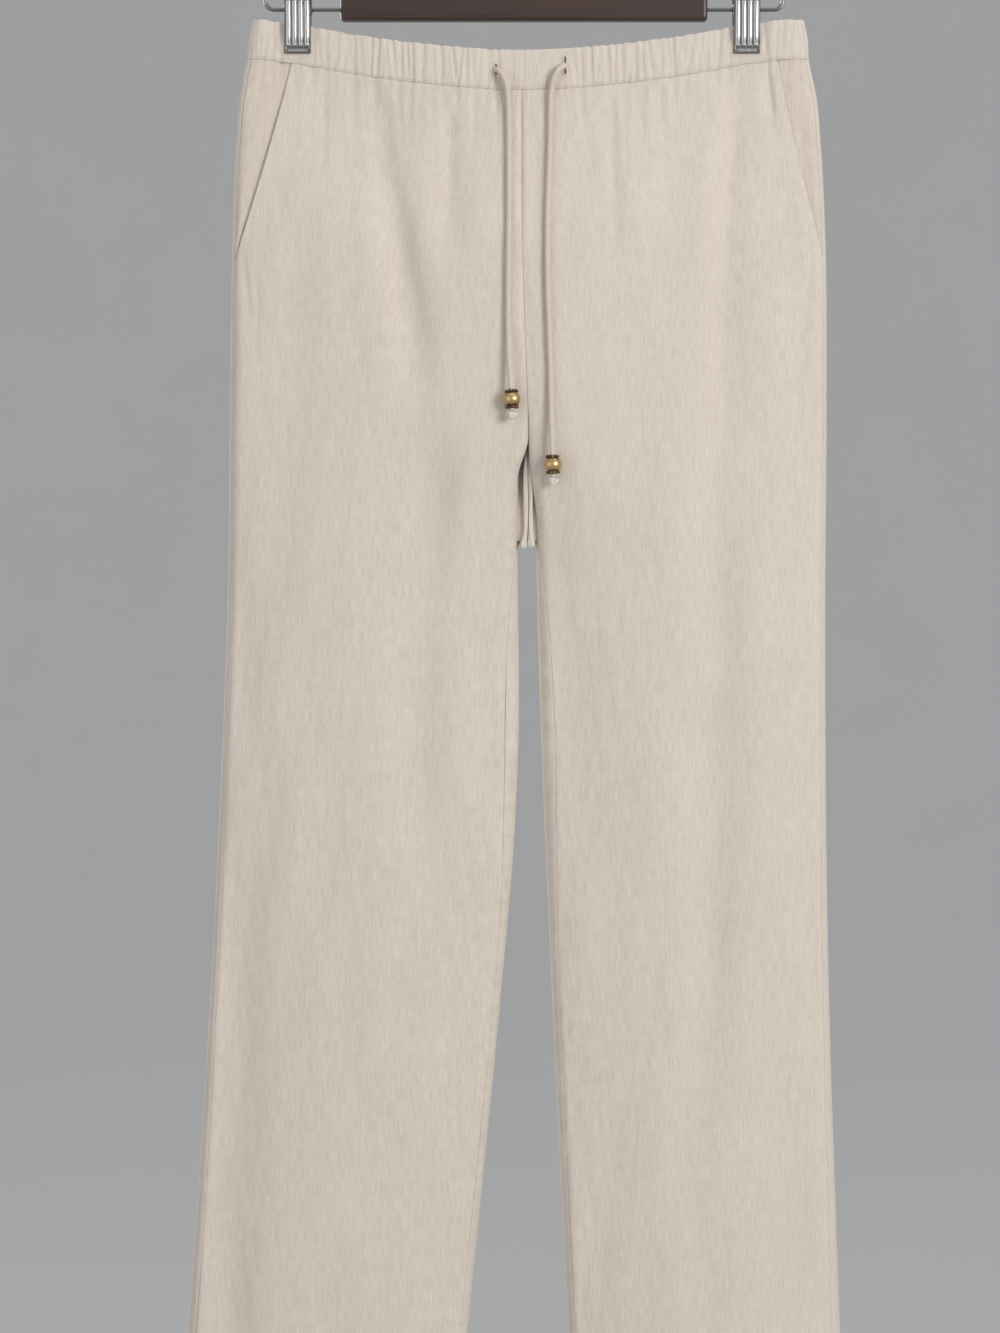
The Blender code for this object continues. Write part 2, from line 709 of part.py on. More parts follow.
def add_bar():
    """The wooden bar, with sockets for the hook and the wire loops."""
    bpy.ops.mesh.primitive_cube_add(size=1)
    bar = bpy.context.object
    bar.name = "hanger_bar"
    size = Vector((BAR_LENGTH, BAR_THICKNESS, BAR_HEIGHT)) * MM
    bar.data.transform(Matrix.Diagonal((*size, 1)))
    bar.location = (0, 0, -(HOOK_TO_BAR + BAR_HEIGHT / 2) * MM)
    bar.data.materials.append(material(*WALNUT))
    for collection in list(bar.users_collection):
        collection.objects.unlink(bar)
    bpy.data.collections["trousers"].objects.link(bar)
    bevel = bar.modifiers.new("rounding", "BEVEL")
    bevel.width = BAR_ROUNDING * MM
    bevel.segments = 3
    overshoot = 2.0
    depth_of_cut = SOCKET_DEPTH + overshoot + GAP
    cut(bar, add_drill("hook_socket", HOOK_WIRE_RADIUS + GAP, depth_of_cut,
                       (0, 0, -HOOK_TO_BAR + overshoot), (0, 0, -1)))
    for side in (RIGHT, LEFT):
        for level in (0, LOOP_RISE):
            start = (side * (BAR_LENGTH / 2 + overshoot), 0, WAIST_TOP + WIRE_ABOVE_WAIST + level)
            cut(bar, add_drill(f"wire_socket_{side}_{level:.0f}", LOOP_WIRE_RADIUS + GAP,
                               depth_of_cut, start, (-side, 0, 0)))


def rib_height(x, z):
    """How far the ribs stand out of a jaw at x from its middle and at a height."""
    nearest = np.clip(np.round(x / RIB_SPACING - 0.5), -2, 1) + 0.5
    across = np.abs(x - nearest * RIB_SPACING) / RIB_HALF_WIDTH
    round_top = np.sqrt(np.clip(1 - across**2, 0, 1))
    ends = step(RIB_BOTTOM, RIB_BOTTOM + RIB_END, z) * (1 - step(RIB_TOP - RIB_END, RIB_TOP, z))
    return RIB_HEIGHT * round_top * ends


def add_jaw(name, side, way):
    """One jaw of a clip, a ribbed bent plate. way is -1 for the front jaw and 1 for the back one."""
    columns = 4 * RIB_COLUMNS
    x = np.linspace(-CLIP_WIDTH / 2, CLIP_WIDTH / 2, columns + 1)
    line = np.array([(jaw.out, 0, jaw.height) for jaw in JAW_LINE])
    levels = [JAW_LINE[0].height, RIB_BOTTOM, RIB_BOTTOM + RIB_END, -21, -14, -6, 0, 8]
    levels += [RIB_TOP - RIB_END, RIB_TOP, JAW_LINE[-1].height]
    sections = []
    for z in levels:
        out = np.interp(z, line[:, 2], line[:, 0])
        front = np.column_stack([x, way * (out + JAW_WALL + rib_height(x, z)), np.full_like(x, z)])
        back = np.column_stack([x, np.full_like(x, way * out), np.full_like(x, z)])
        sections.append(np.concatenate([front, back[::-1]]))
    jaw = add_loft(name, sections, STEEL)
    jaw.location = (CLIP_X[side] * MM, 0, WAIST_TOP * MM)


def add_clip(side, name):
    """A clip: two jaws on a spring barrel that slides along the wire."""
    add_jaw(f"clip_{name}_front_jaw", side, -1)
    add_jaw(f"clip_{name}_back_jaw", side, 1)
    half, bore = SPRING_LENGTH / 2, LOOP_WIRE_RADIUS + GAP
    profile = [(bore, half), (SPRING_RADIUS, half), (SPRING_RADIUS, -half), (bore, -half)]
    barrel = add_turned(f"clip_{name}_spring", profile, 16, STEEL)
    barrel.location = Vector((CLIP_X[side], 0, WAIST_TOP + WIRE_ABOVE_WAIST)) * MM
    barrel.rotation_euler = (0, math.pi / 2, 0)


def add_crotch_roll(side, name):
    """One crotch extension, hanging in the fork as a thin roll with a thick seam end."""
    rolls = CROTCH_ROLLS[side]
    points = [(roll.x, roll.y, WAIST_TOP - roll.below) for roll in rolls]
    add_tube(f"crotch_extension_{name}", points, 1.8, LINEN, [roll.radius for roll in rolls])


def clear_scene():
    for obj in list(bpy.data.objects):
        bpy.data.objects.remove(obj)
    for name in ("trousers", "cutters"):
        bpy.context.scene.collection.children.link(bpy.data.collections.new(name))


def main():
    clear_scene()
    band = add_band("waistband_front", "front")
    add_band("waistband_back", "back")
    for side, name in ((RIGHT, "right"), (LEFT, "left")):
        add_panel(f"front_{name}", side, "front")
        add_panel(f"back_{name}", side, "back")
        add_pocket_facing(f"pocket_facing_{name}", side)
        add_crotch_roll(side, name)
        hole = CORD_ROUTES[side][0]
        surface = float(band_depth(np.array([hole.x]))[0])
        cut(band, add_cutter(f"buttonhole_{name}", (BUTTONHOLE_WIDTH, 12, BUTTONHOLE_HEIGHT),
                             (hole.x, -surface, WAIST_TOP - hole.below)))
        add_drawstring(side, name)
        add_tube(f"hanger_loop_{name}", loop_line(side), LOOP_WIRE_RADIUS, STEEL)
        add_clip(side, name)
    add_bar()
    add_tube("hanger_hook", hook_line(), HOOK_WIRE_RADIUS, STEEL)


main()
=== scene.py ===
"""Linen drawstring trousers hanging from a wooden clip hanger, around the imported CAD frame.

The frame is +Z up, with the front of the garment towards -Y and the wearer's left towards +X.
The origin is the inside top of the hanger's hook. Sizes are in millimetres, and meshes are made in
metres. A drop is a distance down the cloth from the top of the waistband at its sides. The tables
and the form are those of the CAD model, and the relief adds the creases that it leaves out.
"""

from collections import namedtuple
import math

import bmesh
import bpy
import numpy as np
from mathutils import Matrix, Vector


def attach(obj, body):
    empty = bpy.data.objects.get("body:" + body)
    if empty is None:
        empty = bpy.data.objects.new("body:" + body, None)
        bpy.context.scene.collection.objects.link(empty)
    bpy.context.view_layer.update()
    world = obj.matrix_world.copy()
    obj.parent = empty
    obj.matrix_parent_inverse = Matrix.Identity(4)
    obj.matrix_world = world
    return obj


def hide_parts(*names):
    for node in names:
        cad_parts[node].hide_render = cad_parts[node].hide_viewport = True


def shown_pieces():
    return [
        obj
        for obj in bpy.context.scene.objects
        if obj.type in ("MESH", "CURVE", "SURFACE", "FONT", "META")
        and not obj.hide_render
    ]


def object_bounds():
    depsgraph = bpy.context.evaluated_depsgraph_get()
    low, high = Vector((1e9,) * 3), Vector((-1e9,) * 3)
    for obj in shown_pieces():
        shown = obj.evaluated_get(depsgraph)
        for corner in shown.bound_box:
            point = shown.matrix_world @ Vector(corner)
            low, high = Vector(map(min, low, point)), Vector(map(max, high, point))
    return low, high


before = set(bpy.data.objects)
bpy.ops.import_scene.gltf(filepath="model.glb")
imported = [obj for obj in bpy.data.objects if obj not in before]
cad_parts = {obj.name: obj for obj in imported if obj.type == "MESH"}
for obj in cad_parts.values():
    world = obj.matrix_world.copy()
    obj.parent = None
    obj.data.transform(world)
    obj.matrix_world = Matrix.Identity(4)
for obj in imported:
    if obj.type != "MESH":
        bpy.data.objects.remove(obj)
cad_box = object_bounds()


def rows(fields, *values):
    """A table of rows with named fields."""
    row = namedtuple("Row", fields)
    return tuple(row(*value) for value in values)


MM = 0.001
RIGHT, LEFT = -1, 1  # the wearer's right is towards -X
SIDES = {RIGHT: "right", LEFT: "left"}
FACES = {"front": -1, "back": 1}  # and which way along Y each faces

GAP = 0.1  # between two panels that are sewn together
BAND_GAP = 0.06  # between the waistband and a panel
LINEN_THICKNESS = 0.9
BAND_THICKNESS = 2.2

CLIP_X = {RIGHT: -180.7, LEFT: 177.7}
CLIP_WIDTH = 21.0
WAIST_TOP = -101.0
WIRE_ABOVE_WAIST = 8.4
BAND_HEIGHT = 32.0
POCKET_END = 192.0
HIP = 300.0
FORK = 334.0  # where the two fronts part
CROTCH = 422.0  # where the inseams meet the crotch seam
HEM = 1122.0
HEM_TURN = 25.0
# The fronts part slowly below the fork, over the crotch extensions, and the backs at the crotch.
PARTING = {
    "front": {RIGHT: (FORK, FORK + 34), LEFT: (FORK + 8, FORK + 72)},
    "back": {RIGHT: (CROTCH - 16, CROTCH), LEFT: (CROTCH - 16, CROTCH)},
}

# x of each leg's outer fold, and of its inner fold below the fork.
OUTER = rows(
    "drop right left",
    (0, -217, 224), (16, -220, 227), (32, -222, 228), (62, -227, 234), (102, -230.5, 237.5),
    (174, -233, 241), (302, -235, 242), (462, -237, 241), (622, -243, 241.5), (782, -251, 244),
    (942, -261, 249), (1122, -274.5, 255.5),
)
INNER = rows(
    "drop right left",
    (334, -4.8, 9.4), (430, -5, 10), (582, -4.6, 14), (662, -8.4, 17.2), (782, -18.8, 22.4),
    (942, -34.4, 30), (1122, -53, 38),
)
# The centre front and back seams, which swing a little to the wearer's left on the way down.
CENTRE = rows("drop x", (0, -1.6), (160, -1.6), (260, 1), (334, 3.4), (422, 3.4))
# Half the garment's thickness near its side folds and at its middle.
DEPTH = rows(
    "drop side middle",
    (32, 5.5, 11), (90, 8, 17), (160, 9.5, 22), (260, 10.5, 25), (420, 10.5, 25),
    (620, 10.5, 23.5), (860, 10.5, 22.5), (1122, 11.5, 24),
)
# How far the side seam and the inseam lie in front of the fold, as the back panels are the wider.
SEAM_INSET = rows(
    "drop side inseam",
    (0, 3, 0.6), (422, 3.6, 0.6), (450, 3.8, 4.5), (782, 5.5, 5.2), (1122, 8.5, 6),
)
EDGE_ROUND = 10.0  # how far in from a fold the cloth is rounded
BAND_PINCHED = 3.9  # half the thickness of the waistband inside a clip
BAND_SIDE = 5.5
BAND_MIDDLE = 10.0
BAND_SAG = 22.0  # how far the waistband's middle hangs below its edge at the clips
CLIP_SAG = 3.2  # how far its edge at the clips is below its corners
SECTION_POINTS = 160  # in a section, before it is resampled

# The slanted pocket edges run nearly straight from the waistband to the side seam.
POCKETS = dict(zip((RIGHT, LEFT), rows("top_x end_x", (-185.6, -230.2), (202.0, 239.0))))
POCKET_BOW = 2.0
POCKET_OVERLAP = 11.0
POCKET_TAIL = 9.0  # how far the pocket facing runs on below the pocket's end
FACING_TUCK = 0.15  # how deep the facing lies at the side seam
FACING_UNDER = LINEN_THICKNESS + 0.35  # and under the front panel
FACING_SLACK = {RIGHT: 1.4, LEFT: 0.3}  # how much deeper it hangs there below the waistband
FACING_RISE = 16.0  # how far out from the slanted edge it comes up

# The largest folds: soft troughs that take a share of the cloth's depth along a line.
FOLD = "top top_x end end_x width share"
FOLDS = {
    "front": rows(
        FOLD,
        (30, 171, 420, 156, 17, 0.30), (330, 158, 1010, 138, 24, 0.23),
        (40, -118, 320, -76, 20, 0.27), (300, -78, 760, -92, 26, 0.22),
        (50, -58, 200, -60, 14, 0.16), (640, -228, 1180, -246, 24, 0.19),
    ),
    "back": rows(
        FOLD,
        (30, 168, 520, 150, 20, 0.27), (40, 96, 300, 84, 18, 0.22), (40, -104, 380, -90, 20, 0.24),
        (30, -172, 560, -160, 20, 0.27), (420, 118, 1000, 140, 28, 0.22),
        (450, -120, 1040, -150, 28, 0.22),
    ),
}
# Creases, each a soft trough on a curve through three points. x is where it is at its top, half way
# and at its end. A negative depth is a ridge.
CREASE = "top top_x mid_x end end_x width depth"
CREASES = {
    "front": rows(
        CREASE,
        # the wearer's right leg
        (30, -118, -96, 400, -72, 13, 3.2), (60, -104, -80, 330, -60, 12, -1.6),
        (340, -72, -82, 700, -90, 20, 2.6), (30, -58, -60, 190, -61, 6, 2.3),
        (20, -176, -184, 70, -192, 5, 1.4), (30, -160, -166, 190, -176, 9, 0.9),
        (60, -140, -141, 300, -150, 12, 0.9), (620, -222, -232, 1200, -246, 22, 3.0),
        (560, -150, -146, 1150, -152, 22, 1.2), (760, -60, -80, 1200, -96, 18, 1.2),
        (470, -38, -30, 690, -26, 12, 1.3), (176, -227, -221, 262, -220, 3.5, 1.3),
        (196, -219, -213, 290, -214, 5, 0.9), (188, -223, -217, 250, -217, 3, -0.8),
        (30, -92, -93, 110, -95, 3.5, 1.2), (34, -74, -75, 86, -77, 3, 1.0),
        (32, -40, -41, 96, -42, 3.5, 1.1),
        # the wearer's left leg
        (24, 171, 158, 330, 150, 9, 2.6), (28, 158, 146, 300, 138, 12, -2.0),
        (200, 152, 150, 620, 148, 14, 2.2), (520, 148, 144, 960, 142, 20, 2.4),
        (560, 128, 122, 980, 118, 16, -1.0), (30, 108, 110, 110, 112, 4, 1.5),
        (50, 68, 72, 220, 74, 5, 1.7), (34, 92, 92, 96, 93, 3.5, 1.1),
        (26, 190, 197, 110, 206, 5, 1.3), (120, 206, 214, 330, 219, 8, 1.0),
        (640, 212, 210, 1180, 214, 20, 1.3), (820, 62, 70, 1200, 84, 16, 1.1),
        (360, 34, 30, 620, 32, 10, 1.0), (184, 231, 226, 268, 226, 3.5, 1.1),
        (204, 224, 219, 300, 219, 5, 0.8),
        # the centre front
        (34, -3.0, -2.4, 190, -1.6, 2.0, 1.5), (60, 9.5, 9, 250, 10, 4.0, 0.8),
        (170, -1.5, 3, 345, 8, 4.5, 1.2), (240, -10, -8, 350, -6, 5, 0.9),
    ),
    "back": rows(
        CREASE,
        (30, 168, 158, 480, 150, 12, 2.8), (30, 96, 88, 300, 84, 9, 1.7),
        (34, 44, 46, 170, 50, 6, 1.2), (36, -36, -40, 200, -44, 7, 1.4),
        (30, -104, -96, 380, -90, 12, 2.4), (30, -172, -164, 520, -158, 12, 2.6),
        (330, -30, -62, 520, -120, 10, 2.0), (330, 34, 64, 520, 120, 10, 2.0),
        (420, 118, 130, 1000, 140, 20, 2.4), (450, -120, -138, 1040, -150, 20, 2.4),
        (700, 60, 70, 1180, 84, 18, 1.2), (640, -60, -72, 1180, -92, 18, 1.3),
    ),
}
# The gathers of the waistband. Each is a narrow upright trough that runs on down the panel.
GATHER_SEEDS = {"front": 11, "back": 23}
GATHER_FROM, GATHER_TO = -219, 226
SMOOTH_FROM, SMOOTH_TO = -17, 36  # the front's middle is flat, with three stitched lines
STITCHED_LINES = (-8.8, -0.4, 19.2)
SLACK_SIZE = 0.8
CRUMPLE_SIZE = 0.16
PUCKER_SIZE = 0.34
PULLED_IN = 0.3  # how far the seam pulls the waistband and the panels in

# The drawstring's free ends: x, distance below the waistband's top corner, and lift off the cloth.
CORD_RADIUS = 2.25
ROUTE = "x below lift"
CORD_ROUTES = {
    RIGHT: rows(
        ROUTE,
        (-22.4, 41.0, -1.0), (-21.1, 42.0, 2.8), (-17.6, 45.8, 5.6), (-14.4, 53.0, 5.6),
        (-13.0, 62.0, 4.4), (-12.4, 76.0, 3.1), (-12.0, 102.0, 2.8), (-12.0, 142.0, 2.8),
        (-12.4, 182.0, 2.8), (-12.8, 222.0, 2.9), (-12.6, 254.0, 3.8), (-11.6, 280.0, 6.2),
        (-10.4, 296.0, 8.0), (-9.8, 306.0, 8.8), (-9.6, 315.0, 9.2),
    ),
    LEFT: rows(
        ROUTE,
        (32.6, 38.0, -1.0), (31.3, 39.0, 2.8), (27.4, 42.4, 5.6), (23.8, 49.4, 5.6),
        (21.8, 58.6, 4.4), (20.9, 74.0, 3.1), (20.6, 98.0, 2.8), (19.6, 128.0, 2.8),
        (18.6, 160.0, 2.8), (18.4, 192.0, 2.8), (18.9, 224.0, 2.8), (20.0, 256.0, 2.9),
        (20.9, 288.0, 3.0), (21.3, 316.0, 4.6), (21.9, 338.0, 7.2), (22.5, 356.0, 8.6),
        (23.0, 367.0, 9.0),
    ),
}
SLIT_WIDTH = 1.8
SLIT_HEIGHTS = {RIGHT: 9.0, LEFT: 14.5}
BEAD_BELOW = {RIGHT: 305.6, LEFT: 357.4}
BEAD_RADIUS = 7.0
BEAD_HEIGHT = 15.0
GRAINS = 11
GRAIN_RADIUS = 1.2

# The crotch extensions, which hang in the fork as two thin rolls in front of a flat allowance.
ROLL = "x below y radius"
CROTCH_ROLLS = {
    RIGHT: rows(
        ROLL,
        (1.5, 328, -6.6, 1.7), (1.3, 350, -7.6, 1.75), (1.2, 375, -8.4, 1.8), (1.3, 398, -8.8, 1.75),
        (0.9, 410, -8.8, 1.8), (0.1, 416, -8.8, 2.1), (-0.4, 420, -8.8, 2.6), (-0.5, 423, -8.8, 1.7),
    ),
    LEFT: rows(
        ROLL,
        (5.2, 328, -6.6, 1.7), (5.2, 350, -7.6, 1.75), (5.2, 375, -8.4, 1.8), (5.3, 398, -8.8, 1.75),
        (5.4, 410, -8.8, 1.8), (5.6, 416, -8.8, 2.1), (5.8, 419, -8.8, 2.6), (5.8, 422, -8.8, 1.7),
    ),
}
ROLL_FORWARD = {RIGHT: 3.8, LEFT: 3.2}
ALLOWANCE_MIDDLE = 3.0
ALLOWANCE_WIDTH = {RIGHT: 8.4, LEFT: 7.3}

# A jaw's side view: distance out from the cloth's middle plane, and height above the waistband's
# top corner. The jaw grips at the bottom and spreads at the top.
JAW_LINE = rows(
    "out height",
    (4.2, -27.5), (4.2, -21), (6.2, -14), (7.5, 0), (8.1, 8), (9.4, 14), (11.8, 22),
)
JAW_WALL = 1.4
# Four ribs run down the front of each jaw to a plain lip.
RIB_SPACING = 4.85
RIB_HALF_WIDTH = 2.0
RIB_HEIGHT = 1.3
RIB_BOTTOM = -22.5
RIB_TOP = 14.5
RIB_END = 1.6
SPRING_LENGTH = 15.0
SPRING_TURNS = 11
SPRING_RADIUS = 3.7
SPRING_WIRE = 0.85
STITCH_PITCH = 3.2
STITCH_LENGTH = 2.2
STITCH_RADIUS = 0.28
# Share of the way along a stitch, share of its radius, and height above the cloth.
STITCH_RINGS = ((0.0, 0.35, -0.22), (0.2, 0.9, 0.02), (0.8, 0.9, 0.02), (1.0, 0.35, -0.22))

# The camera looks level along +Y.
CAMERA_PLACE = (-19.2, -2600.0, -617.8)
CAMERA_LENS = 87.8
SENSOR_HEIGHT = 36.0
LIGHTS_AIM_AT = (0.0, 0.0, -0.62)
# In metres and watts. The lights that shine on the object only leave the backdrop even.
LIGHTS = rows(
    "name place size power colour object_only",
    ("key", (2.15, -2.75, 0.05), (1.4, 1.4), 70, (1.0, 0.99, 0.985), True),
    ("fill", (-1.9, -1.9, -0.5), (1.6, 2.0), 12, (0.97, 0.985, 1.0), True),
    ("top", (0.2, -0.4, 1.5), (1.6, 1.0), 8, (1.0, 1.0, 1.0), False),
    ("back", (-2.2, 2.8, 0.6), (1.8, 1.8), 60, (1.0, 1.0, 1.0), True),
)
SKY_COLOUR = (0.97, 0.98, 1.0, 1.0)
SKY_STRENGTH = 0.41
BACKDROP_COLOUR = (0.87, 0.87, 0.865)
BACKDROP_RADIUS = 9.0
BACKDROP_BEND = 2.5
BACKDROP_TOP = 5.0
FLOOR_BELOW_HEM = 0.16


# ---------------------------------------------------------------- the form


def step(low, high, value):
    """0 below low and 1 above high, with a smooth rise between."""
    t = np.clip((value - low) / (high - low), 0.0, 1.0)
    return t * t * (3 - 2 * t)


def bell(distance, width):
    """1 where the distance is nothing, and falling smoothly to 0 beyond the width."""
    return np.exp(-((distance / width) ** 2))


def unit(vectors):
    return vectors / np.linalg.norm(vectors, axis=1)[:, None]


def arc(line):
    """The length along a line at each of its points."""
    return np.concatenate([[0], np.cumsum(np.linalg.norm(np.diff(line, axis=0), axis=1))])


def along(table, column, drop):
    """A table's column at a drop, on a smooth curve through its rows."""
    xs = np.array([row.drop for row in table], float)
    ys = np.array([getattr(row, column) for row in table], float)
    slopes = np.gradient(ys, xs)
    drop = np.clip(drop, xs[0], xs[-1])
    k = np.clip(np.searchsorted(xs, drop) - 1, 0, len(xs) - 2)
    span = xs[k + 1] - xs[k]
    t = (drop - xs[k]) / span
    start = (1 + 2 * t) * (1 - t) ** 2 * ys[k] + t * (1 - t) ** 2 * span * slopes[k]
    end = t * t * (3 - 2 * t) * ys[k + 1] + t * t * (t - 1) * span * slopes[k + 1]
    return start + end


def sag(x, drop):
    """How far the sagging waistband lets the cloth down at x. It fades out down the hips."""
    middle = (CLIP_X[LEFT] + CLIP_X[RIGHT]) / 2
    half = (CLIP_X[LEFT] - CLIP_X[RIGHT]) / 2
    away = np.abs(np.asarray(x, float) - middle) / half
    between = CLIP_SAG + BAND_SAG * (1 - np.minimum(away, 1.0) ** 1.7)
    edge = between - CLIP_SAG * step(1.0, 1.18, away)
    return edge * (1 - step(BAND_HEIGHT, HIP, drop))


def height(x, drop):
    return WAIST_TOP - drop - sag(x, drop)


def drop_at(x, below):
    """The drop of the cloth at x, at a distance below the waistband's top corner."""
    drop = below
    for _ in range(12):
        drop = below - float(sag(x, drop))
    return drop


def from_clip(x):
    return np.minimum(np.abs(x - CLIP_X[LEFT]), np.abs(x - CLIP_X[RIGHT]))


def outer_x(side, drop):
    """x of a leg's outer fold."""
    return float(along(OUTER, SIDES[side], drop))


def inner_x(side, face, drop):
    """x of a panel's inner edge: the centre seam, and then the inner fold of the leg."""
    seam = float(along(CENTRE, "x", drop)) + side * GAP / 2
    fold = float(along(INNER, SIDES[side], drop))
    return float(seam + (fold - seam) * step(*PARTING[face][side], drop))


def side_seam(side, drop, gap):
    """x of the side seam, or of a panel's edge at half a gap to either side of it."""
    return outer_x(side, drop) - side * (along(SEAM_INSET, "side", drop) + gap)


def inseam_inset(drop, gap):
    """How far a panel reaches from the inner fold to the inseam, below the crotch."""
    return (along(SEAM_INSET, "inseam", drop) - gap) * step(CROTCH - 4, CROTCH + 10, drop)


def pocket_x(side, drop):
    """x of the slanted pocket edge."""
    pocket = POCKETS[side]
    way = (drop - BAND_HEIGHT) / (POCKET_END - BAND_HEIGHT)
    bow = side * POCKET_BOW * float(np.sin(np.pi * np.clip(way, 0, 1)))
    return pocket.top_x + (pocket.end_x - pocket.top_x) * way - bow


def rounded(distance):
    """How far the cloth has opened at a distance in from a fold, from 0 at the fold to 1."""
    return np.sqrt(1 - (1 - np.clip(distance / EDGE_ROUND, 0, 1)) ** 2)


def band_depth(x):
    """Half the waistband's thickness at x: flat in the clips, open between them."""
    between = (x > CLIP_X[RIGHT]) & (x < CLIP_X[LEFT])
    open_middle = (BAND_MIDDLE - BAND_PINCHED) * step(13, 130, from_clip(x))
    open_side = (BAND_SIDE - BAND_PINCHED) * step(12, 26, from_clip(x))
    return BAND_PINCHED + np.where(between, open_middle, open_side)


def fold_share(face, drop, x):
    """What the folds leave of the cloth's depth at x."""
    left_over = np.ones_like(x)
    for fold in FOLDS[face]:
        way = (drop - fold.top) / (fold.end - fold.top)
        strength = float(step(0.0, 0.15, way) * (1 - step(0.6, 1.0, way)))
        line_x = fold.top_x + (fold.end_x - fold.top_x) * way
        left_over -= fold.share * strength * bell(x - line_x, fold.width)
    return left_over


def depth(side, face, drop, x):
    """Half the garment's thickness at x, without its sign."""
    outer, inner = outer_x(side, drop), inner_x(side, face, drop)
    legs = float(step(260, 460, drop))
    crest = inner + (outer - inner) * 0.5 * legs
    out_share = np.clip((x - crest) / (outer - crest), 0, 1)
    in_share = legs * np.clip((crest - x) / (crest - inner + side * 1e-6), 0, 1)
    edge_depth, middle_depth = along(DEPTH, "side", drop), along(DEPTH, "middle", drop)
    body = edge_depth + (middle_depth - edge_depth) * (1 - np.maximum(out_share, in_share) ** 2)
    from_band = float(step(BAND_HEIGHT, 170, drop))
    whole = band_depth(x) * (1 - from_band) + body * from_band
    if face == "front":
        closed = 1 - 0.25 * step(FORK - 24, FORK + 8, drop) - 0.75 * step(FORK + 8, CROTCH + 6, drop)
    else:
        closed = 1 - step(FORK + 6, CROTCH + 6, drop)
    inside = closed + (1 - closed) * rounded(np.abs(x - inner))
    return whole * rounded(np.abs(outer - x)) * inside * fold_share(face, drop, x)


def face_line(side, face, drop, start_x, end_x):
    """Points (x, y) across a face from start_x to end_x, closest together at its folds."""
    outer, inner = outer_x(side, drop), inner_x(side, face, drop)
    middle, half = (outer + inner) / 2, (outer - inner) / 2
    start, end = (math.acos(max(-1.0, min(1.0, (x - middle) / half))) for x in (start_x, end_x))
    x = middle + half * np.cos(np.linspace(start, end, SECTION_POINTS))
    return np.column_stack([x, FACES[face] * depth(side, face, drop, x)])


def front_line(side, drop):
    """A front panel's outside, from its side seam or pocket edge to its inner edge."""
    start = side_seam(side, drop, GAP / 2)
    if drop <= POCKET_END:
        start = min(start, pocket_x(side, drop), key=lambda x: x * side)
    end = inner_x(side, "front", drop) + side * inseam_inset(drop, 0)
    return face_line(side, "front", drop, start, end)


def back_line(side, drop):
    """A back panel's outside, from its side seam round the fold, across, and round to the inseam."""
    outer, inner = outer_x(side, drop), inner_x(side, "back", drop)
    lines = [
        face_line(side, "front", drop, side_seam(side, drop, -GAP / 2), outer),
        face_line(side, "back", drop, outer, inner)[1:],
    ]
    inset = inseam_inset(drop, GAP)
    if inset > 0:
        lines.append(face_line(side, "front", drop, inner, inner + side * inset)[1:])
    return np.concatenate(lines)


def band_line(face, drop):
    """The waistband's outside, from the wearer's right to the left."""
    halves = []
    for side in SIDES:
        if face == "front":
            seam = side_seam(side, drop, GAP / 2)
            halves.append(face_line(side, "front", drop, seam, inner_x(side, "front", drop)))
        else:
            halves.append(back_line(side, drop))
    return np.concatenate([halves[0], halves[1][::-1]])


def resample(line, sign, shares):
    """The line's points and outward normals at shares of its length."""
    tangent = unit(np.gradient(line, axis=0))
    normals = sign * np.column_stack([-tangent[:, 1], tangent[:, 0]])
    lengths = arc(line)
    at = shares * lengths[-1]
    points, turned = (
        np.column_stack([np.interp(at, lengths, values[:, k]) for k in range(2)])
        for values in (line, normals)
    )
    return points, unit(turned)


def smooth_curve(knots, steps=12):
    """A Catmull-Rom curve through the knots."""
    ends = np.concatenate([[2 * knots[0] - knots[1]], knots, [2 * knots[-1] - knots[-2]]])
    curve = [knots[0]]
    for a, b, c, d in zip(ends, ends[1:], ends[2:], ends[3:]):
        for t in np.linspace(0, 1, steps + 1)[1:]:
            bend = (2 * a - 5 * b + 4 * c - d) * t**2 + (3 * b - a - 3 * c + d) * t**3
            curve.append(0.5 * (2 * b + (c - a) * t + bend))
    return np.array(curve)


def spaced(line, spacing):
    """The line with points about spacing apart."""
    lengths = arc(line)
    at = np.linspace(0, lengths[-1], max(2, round(lengths[-1] / spacing) + 1))
    return np.column_stack([np.interp(at, lengths, line[:, k]) for k in range(3)])


# ---------------------------------------------------------------- the relief


def make_gathers(seed, smooth_middle):
    """Rows of x, lean, width, depth and reach, unevenly spaced."""
    random = np.random.default_rng(seed)
    gathers, x = [], GATHER_FROM
    while x < GATHER_TO:
        smooth = smooth_middle and SMOOTH_FROM < x < SMOOTH_TO
        if from_clip(x) >= 12 and not smooth:
            gathers.append((x, random.normal(0, 1.3), random.uniform(0.9, 2.2),
                            random.uniform(0.35, 1.5), random.choice([16, 26, 40, 70])))
        x += random.uniform(3.4, 9.5)
    return np.array(gathers)


def make_waves(seeds, count, across, down):
    """For each face, the directions and phases of a soft uneven surface."""
    waves = {}
    for face, seed in zip(FACES, seeds):
        random = np.random.default_rng(seed)
        waves[face] = np.column_stack([
            2 * np.pi / random.uniform(*across, count) * random.choice([-1, 1], count),
            2 * np.pi / random.uniform(*down, count),
            random.uniform(0, 2 * np.pi, count),
            random.uniform(0.5, 1.0, count),
        ])
    return waves


GATHERS = {face: make_gathers(seed, face == "front") for face, seed in GATHER_SEEDS.items()}
SLACK = make_waves((3, 4), 18, (34, 110), (150, 700))
CRUMPLE = make_waves((7, 8), 26, (9, 26), (35, 160))
PUCKER = make_waves((12, 13), 22, (3.2, 9), (20, 60))


def uneven(waves, x, drop):
    total = sum(size * np.sin(kx * x + kz * drop + phase) for kx, kz, phase, size in waves)
    return total / math.sqrt(len(waves))


